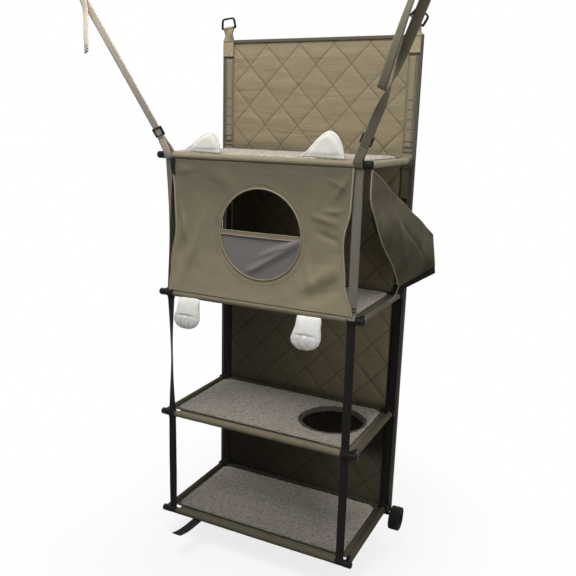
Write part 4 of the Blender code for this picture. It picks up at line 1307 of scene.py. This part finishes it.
class CATTREE_OT_door(bpy.types.Operator):
    """Build the door's binding, the mesh pocket over its lower half and the hook tab beside it"""
    bl_idname = "cat_tree.door"
    bl_label = "Door"

    def execute(self, context):
        cord = rod_curve("door_binding", door_ring(DOOR_RADIUS, 0.0008, 96), 0.0021, closed=True)
        piece("door_binding", cord, "olive_canvas", "front_webbing", ["door_rim"])
        radius = DOOR_RADIUS + 0.006

        def pocket(across, down):
            angle = -math.pi * across
            far = radius * down
            x, z = far * math.cos(angle), far * math.sin(angle)
            fold = 0.006 * bell(z - x * 0.62 + 0.072, 0.009)
            fold += 0.005 * bell(z - x * 0.45 + 0.050, 0.007) * ease((x + 0.02) / 0.05)
            loose = fold * ease((1 - down) / 0.3) * ease(down / 0.3)
            return DOOR.x + x, FRONT_PANEL_Y + 0.0022 - loose, DOOR.z + z

        bm = bmesh.new()
        mapped_grid(bm, 60, 30, pocket)
        weld(bm)
        flat_uv(bm, 0, 2)
        mesh = piece("door_pocket", bm, "pocket_mesh", "front_webbing", ["door_mesh"], thick=0.0006)

        def hem(across, down):
            x = radius * 0.985 * (2 * across - 1)
            y = FRONT_PANEL_Y + 0.0012 - 0.002 * arch(across)
            return DOOR.x + x, y, DOOR.z + 0.010 * (down - 0.6)

        bm = bmesh.new()
        mapped_grid(bm, 40, 4, hem, (2 * radius, 0.010))
        piece("pocket_hem", bm, "olive_canvas", "front_webbing", thick=0.0016)
        for name, row in (("upper", 1.0), ("lower", 0.0)):
            line = [Vector(hem(i / 40, row)) - Vector((0, 0.0008, 0)) for i in range(41)]
            cord = rod_curve("pocket_piping", line, 0.0011)
            piece("pocket_piping_" + name, cord, "hem_canvas", "front_webbing")

        def hook(across, down):
            x = -NOTCH_X - 0.001 + 0.005 * down ** 3 + 0.013 * across * (1 - 0.4 * down)
            return x, FRONT_PANEL_Y - 0.0035, HOUSE_TOP_Z + 0.001 - 0.036 * down

        bm = bmesh.new()
        mapped_grid(bm, 6, 14, hook, (0.014, 0.042))
        piece("hook_tab", bm, "black_webbing", "front_webbing", thick=0.0016)
        return {"FINISHED"}


class CATTREE_OT_house_sides(bpy.types.Operator):
    """Build the house's closed left side and its open right flap"""
    bl_idname = "cat_tree.house_sides"
    bl_label = "House sides"

    def execute(self, context):
        look = context.scene.cat_tree
        low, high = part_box("side_panel_left")

        def left(across, down):
            y = low.y + (high.y - low.y) * across
            z = low.z + (high.z - low.z) * down
            sag = 0.003 * arch(down) * arch(across)
            wave = 0.002 * ripple(y * 22, z * 16) * arch(down) * arch(across)
            return sag + wave - SIDE_X, y, z

        bm = bmesh.new()
        mapped_grid(bm, 40, 48, left, (high.y - low.y, high.z - low.z))
        wall = piece("side_wall_left", bm, "olive_canvas", "shelf_2", ["side_panel_left"],
                     thick=look.sizes.canvas_thick)
        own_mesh(wall)

        corner = Vector((SIDE_X, FRONT_Y, SHELF_Z[0]))
        near_edge = [corner + Vector(spot) for spot in FLAP_NEAR]
        far_top, far_low = (corner + Vector(spot) for spot in FLAP_FAR)

        def flap(across, down):
            near = smooth_point(near_edge, down)
            far = far_top.lerp(far_low, down)
            loose = arch(across) * arch(down)
            fold = 0.003 * math.sin(across * 9 + down * 5) * loose
            fold += 0.004 * bell(across - 0.40 + 0.12 * down, 0.035) * loose
            fold -= 0.004 * bell(across - 0.30 - 0.65 * down, 0.06) * loose
            wave = 0.007 * ripple(across * 4.5 + down * 2, down * 2.2) * arch(across) * (1 - down ** 3)
            return near.lerp(far, across) + Vector((0.008 * loose + fold + wave, 0, 0))

        bm = bmesh.new()
        mapped_grid(bm, 56, 56, flap, (0.26, 0.33))

        # Painted shade on the flap, deeper towards its back, under random patches of uneven tone
        def flap_painted_shade_and_patches(spot):
            share = (spot.y - FRONT_Y) / 0.26
            patches = 0.24 * ripple(spot.y * 20, spot.z * 14) + 0.12 * ripple(spot.y * 55, spot.z * 40)
            return 0.54 - 0.17 * share + patches

        toned(bm, flap_painted_shade_and_patches)
        cloth = piece("house_flap", bm, "shaded_canvas", "side_flap", ["side_flap"],
                      thick=look.sizes.canvas_thick)

        # A black strip along the inside of the flap's near edge, widest in its upper part
        def near_edge_strip(across, down):
            share = 0.22 + 0.78 * down
            taper = 0.008 - 0.0062 * ease((share - 0.40) / 0.12)
            width = taper * arch(min(down * 2.2, 0.5))
            return flap(0, share) - Vector((0.90, 0.44, 0)) * width * across + Vector((-0.0008, 0.0012, 0))

        bm = bmesh.new()
        mapped_grid(bm, 4, 48, near_edge_strip, (0.008, 0.30))
        piece("flap_binding", bm, "black_webbing", "side_flap", thick=0.0010)
        near_points = [flap(0, i / 48) for i in range(49)]
        cord = [near_points[-1]] + [corner + Vector(spot) for spot in FLAP_CORD]
        near_points += [smooth_point(cord, i / 12) for i in range(1, 13)]
        piece("flap_piping", rod_curve("flap_piping", near_points, 0.0017), "hem_canvas", "side_flap")
        steps = [i / 40 for i in range(41)]
        edges = {"top": [flap(step, 0) for step in steps], "far": [flap(1, step) for step in steps]}
        for edge, points in edges.items():
            piece("flap_edge_" + edge, rod_curve("flap_edge", points, 0.0014), "olive_canvas", "side_flap")

        def foot(across, down):
            point = flap(across, 1)
            return point + Vector((0.0015, 0.002, -0.011 - 0.006 * across)) * down

        bm = bmesh.new()
        mapped_grid(bm, 40, 4, foot, (0.11, 0.012))
        piece("flap_hem", bm, "black_webbing", "side_flap", thick=0.0018)
        return {"FINISHED"}


def front_outline(bm, steps):
    """A form's outline seen from the front, from its left foot over the top to its right foot."""
    low = min(vert.co.z for vert in bm.verts)
    high = max(vert.co.z for vert in bm.verts)
    left, right = [], []
    for i in range(steps):
        level = low + (high - low) * (i + 0.5) / steps
        slack = (high - low) / steps
        row = [vert.co.x for vert in bm.verts if abs(vert.co.z - level) < slack]
        left.append(Vector((min(row), 0, level)))
        right.append(Vector((max(row), 0, level)))
    return left + right[::-1]


class CATTREE_OT_ears(bpy.types.Operator):
    """Build the stuffed felt ears with their hemmed edges"""
    bl_idname = "cat_tree.ears"
    bl_label = "Ears"

    def execute(self, context):
        look = context.scene.cat_tree
        for side in SIDES:
            node = "ear_" + side
            centre = middle(node)
            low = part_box(node)[0].z
            bm = puffed(cad_copy(node), 0.0022, 5.0, 0.003)
            edge = front_outline(bm, 40)
            tree = KDTree(len(edge))
            for i, point in enumerate(edge):
                tree.insert(point, i)
            tree.balance()
            for vert in bm.verts:
                off = tree.find(Vector((vert.co.x, 0, vert.co.z)))[2]
                pinch = 0.30 * bell(off - EAR_HEM, 0.0022)
                pinch += 0.22 * bell(vert.co.z - low - 0.008, 0.003)
                vert.co.y = centre.y + (vert.co.y - centre.y) * (1 - min(pinch, 0.35))
                vert.co.z = max(vert.co.z, low)
            soften(bm, 0.5)
            skin = BVHTree.FromBMesh(bm)
            heart = Vector((centre.x, 0, low + 0.015))
            line = []
            for point in edge:
                inner = point + (heart - point).normalized() * EAR_HEM
                hit = skin.ray_cast(Vector((inner.x, centre.y - 0.05, inner.z)), Vector((0, 1, 0)))[0]
                if hit and inner.z > low + 0.004:
                    line.append(hit)
            ear = piece("felt_" + node, bm, "white_felt", "front_webbing", [node], levels=1)
            threads = bmesh.new()
            stitches(threads, line, OUTWARD, look)
            piece("felt_seam_" + node, threads, "white_felt", "front_webbing")
        return {"FINISHED"}


class CATTREE_OT_paws(bpy.types.Operator):
    """Build the stuffed paws with their creased toes"""
    bl_idname = "cat_tree.paws"
    bl_label = "Paws"

    def execute(self, context):
        for side in SIDES:
            node = "paw_" + side
            low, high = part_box(node)
            reach = high.z - low.z
            seam_x = JOINTS[f"paw_{side}_swing"]["pos_m"][0]
            bm = puffed(cad_copy(node), 0.0018, 5.0, 0.0022)
            middle_y = (low.y + high.y) / 2
            for vert in bm.verts:
                share = (high.z - vert.co.z) / reach
                wide = (vert.co.x - seam_x + 0.012 * share) / PAW_HALF
                across = max(0.0, 1 - wide * wide)
                bend = 0.60 - 0.06 * across
                below = ease((share - bend) / 0.05) * ease((0.985 - share) / 0.06)
                fold = 0.0026 * bell((share - bend) * reach, 0.0026) * across ** 2.5
                gather = 0.0012 * math.cos(wide * 31 + share * 4) * bell(share - bend - 0.03, 0.09)
                gaps = sum(bell((wide - gap) * PAW_HALF, 0.0019) for gap in (-0.24, 0.22))
                toes = 0.0032 * below * gaps
                if vert.co.y < middle_y:
                    vert.co.y += fold + toes + gather * across
                else:
                    vert.co.y -= 0.4 * (fold + toes)
            soften(bm, 0.4)
            paw = piece("felt_" + node, bm, "paw_felt", node, [node], levels=1)
        return {"FINISHED"}


class CATTREE_OT_ties(bpy.types.Operator):
    """Build the loose strap end and the rolled strap at the bottom"""
    bl_idname = "cat_tree.ties"
    bl_label = "Loose straps"

    def execute(self, context):
        for node, body in (("tie_strap_front", "shelf_4"), ("tie_strap_roll", "panel")):
            bm = cad_copy(node)
            layer = bm.loops.layers.uv.new("cloth")
            for face in bm.faces:
                for loop in face.loops:
                    loop[layer].uv = (loop.vert.co.x, loop.vert.co.y + loop.vert.co.z)
            strap = piece(node.replace("strap", "webbing"), bm, "black_webbing", body, [node],
                          bevel=0.0003, levels=1)
        return {"FINISHED"}


def directly_seen(tree):
    """1 for what the camera sees, straight or by gloss or glass, and 0 for soft light."""
    path = add(tree, "LightPath").outputs
    seen = add(tree, "Math", {0: path["Is Camera Ray"], 1: path["Is Glossy Ray"]}, operation="MAXIMUM")
    seen = add(tree, "Math", {0: seen.outputs[0], 1: path["Is Transmission Ray"]}, operation="MAXIMUM")
    return seen.outputs[0]


class CATTREE_OT_stage(bpy.types.Operator):
    """Set the floor, the light and the camera"""
    bl_idname = "cat_tree.stage"
    bl_label = "Stage"

    def execute(self, context):
        scene = context.scene
        floor_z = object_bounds()[0].z - FLOOR_DROP
        bm = bmesh.new()
        bmesh.ops.create_grid(bm, x_segments=1, y_segments=1, size=FLOOR_HALF,
                              matrix=Matrix.Translation((0, 0, floor_z)))
        mesh = bpy.data.meshes.new("floor")
        bm.to_mesh(mesh)
        bm.free()
        made, tree = start_material("pale_floor", Roughness=0.95, Base_Color=(0.08, 0.08, 0.08, 1.0))
        shader = tree.nodes["Principled BSDF"]
        place = add(tree, "TexCoord").outputs["Object"]
        far = add(tree, "VectorMath", {0: place, 1: (0.0, -0.15, floor_z)}, operation="DISTANCE")
        open_floor = add(tree, "MapRange", {0: far.outputs["Value"], 1: 0.30, 2: 0.85, 3: 0.80, 4: 1.0},
                         interpolation_type="SMOOTHSTEP")
        pale = add(tree, "BsdfDiffuse", {"Color": (0.9, 0.9, 0.9, 1.0)})
        white = add(tree, "Emission", {"Color": WHITE, "Strength": 1.0})
        shown = add(tree, "MixShader", {0: open_floor.outputs[0], 1: pale.outputs[0], 2: white.outputs[0]})
        mix = add(tree, "MixShader", {0: directly_seen(tree), 1: shader.outputs[0], 2: shown.outputs[0]})
        tree.links.new(mix.outputs[0], tree.nodes["Material Output"].inputs["Surface"])
        mesh.materials.append(made)
        floor = bpy.data.objects.new("floor", mesh)
        scene.collection.objects.link(floor)
        floor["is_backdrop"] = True

        world = bpy.data.worlds.new("studio")
        world.use_nodes = True
        tree = world.node_tree
        soft = tree.nodes["Background"]
        soft.inputs["Color"].default_value = WHITE
        soft.inputs["Strength"].default_value = SOFT_LIGHT
        white = add(tree, "Background", {"Color": WHITE, "Strength": 1.0})
        mix = add(tree, "MixShader", {0: directly_seen(tree), 1: soft.outputs[0], 2: white.outputs[0]})
        tree.links.new(mix.outputs[0], tree.nodes["World Output"].inputs["Surface"])
        scene.world = world

        for name, place, size, power in LAMPS:
            lamp = bpy.data.lights.new(name, "AREA")
            lamp.size = size
            lamp.energy = power
            obj = bpy.data.objects.new(name, lamp)
            turn = (LAMP_AIM - Vector(place)).to_track_quat("-Z", "Y").to_matrix().to_4x4()
            obj.matrix_world = Matrix.Translation(place) @ turn
            obj.visible_camera = False
            scene.collection.objects.link(obj)
            obj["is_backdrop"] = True

        data = bpy.data.cameras.new("camera")
        data.lens = CAMERA_LENS
        camera = bpy.data.objects.new("camera", data)
        turn = Matrix.Rotation(CAMERA_YAW, 4, "Z") @ Matrix.Rotation(math.pi / 2 - CAMERA_PITCH, 4, "X")
        camera.matrix_world = Matrix.Translation(CAMERA_PLACE) @ turn @ Matrix.Rotation(CAMERA_ROLL, 4, "Z")
        scene.collection.objects.link(camera)
        scene.camera = camera
        scene.view_settings.view_transform = "Standard"
        return {"FINISHED"}


OPERATORS = (
    CATTREE_OT_panel,
    CATTREE_OT_bands,
    CATTREE_OT_rings,
    CATTREE_OT_decks,
    CATTREE_OT_mats,
    CATTREE_OT_fittings,
    CATTREE_OT_hole,
    CATTREE_OT_front_straps,
    CATTREE_OT_upper_straps,
    CATTREE_OT_house_front,
    CATTREE_OT_door,
    CATTREE_OT_house_sides,
    CATTREE_OT_ears,
    CATTREE_OT_paws,
    CATTREE_OT_ties,
    CATTREE_OT_stage,
)


class CATTREE_PT_sidebar(bpy.types.Panel):
    """Sidebar panel with one button for each group of pieces"""
    bl_idname = "CATTREE_PT_sidebar"
    bl_label = "Hanging cat tree"
    bl_space_type = "VIEW_3D"
    bl_region_type = "UI"
    bl_category = "Cat Tree"

    def draw(self, context):
        for operator in OPERATORS:
            self.layout.operator(operator.bl_idname)


CLASSES = (CatTreeSizes, CatTreeColours, CatTreeSettings) + OPERATORS + (CATTREE_PT_sidebar,)


def register():
    """Register the add-on's classes and settings."""
    for cls in CLASSES:
        bpy.utils.register_class(cls)
    bpy.types.Scene.cat_tree = PointerProperty(type=CatTreeSettings)


def unregister():
    """Take the add-on's classes and settings out again."""
    del bpy.types.Scene.cat_tree
    for cls in reversed(CLASSES):
        bpy.utils.unregister_class(cls)


def main():
    """Build every piece in order."""
    register()
    for operator in OPERATORS:
        group, name = operator.bl_idname.split(".")
        getattr(getattr(bpy.ops, group), name)()


if __name__ == "__main__":
    main()
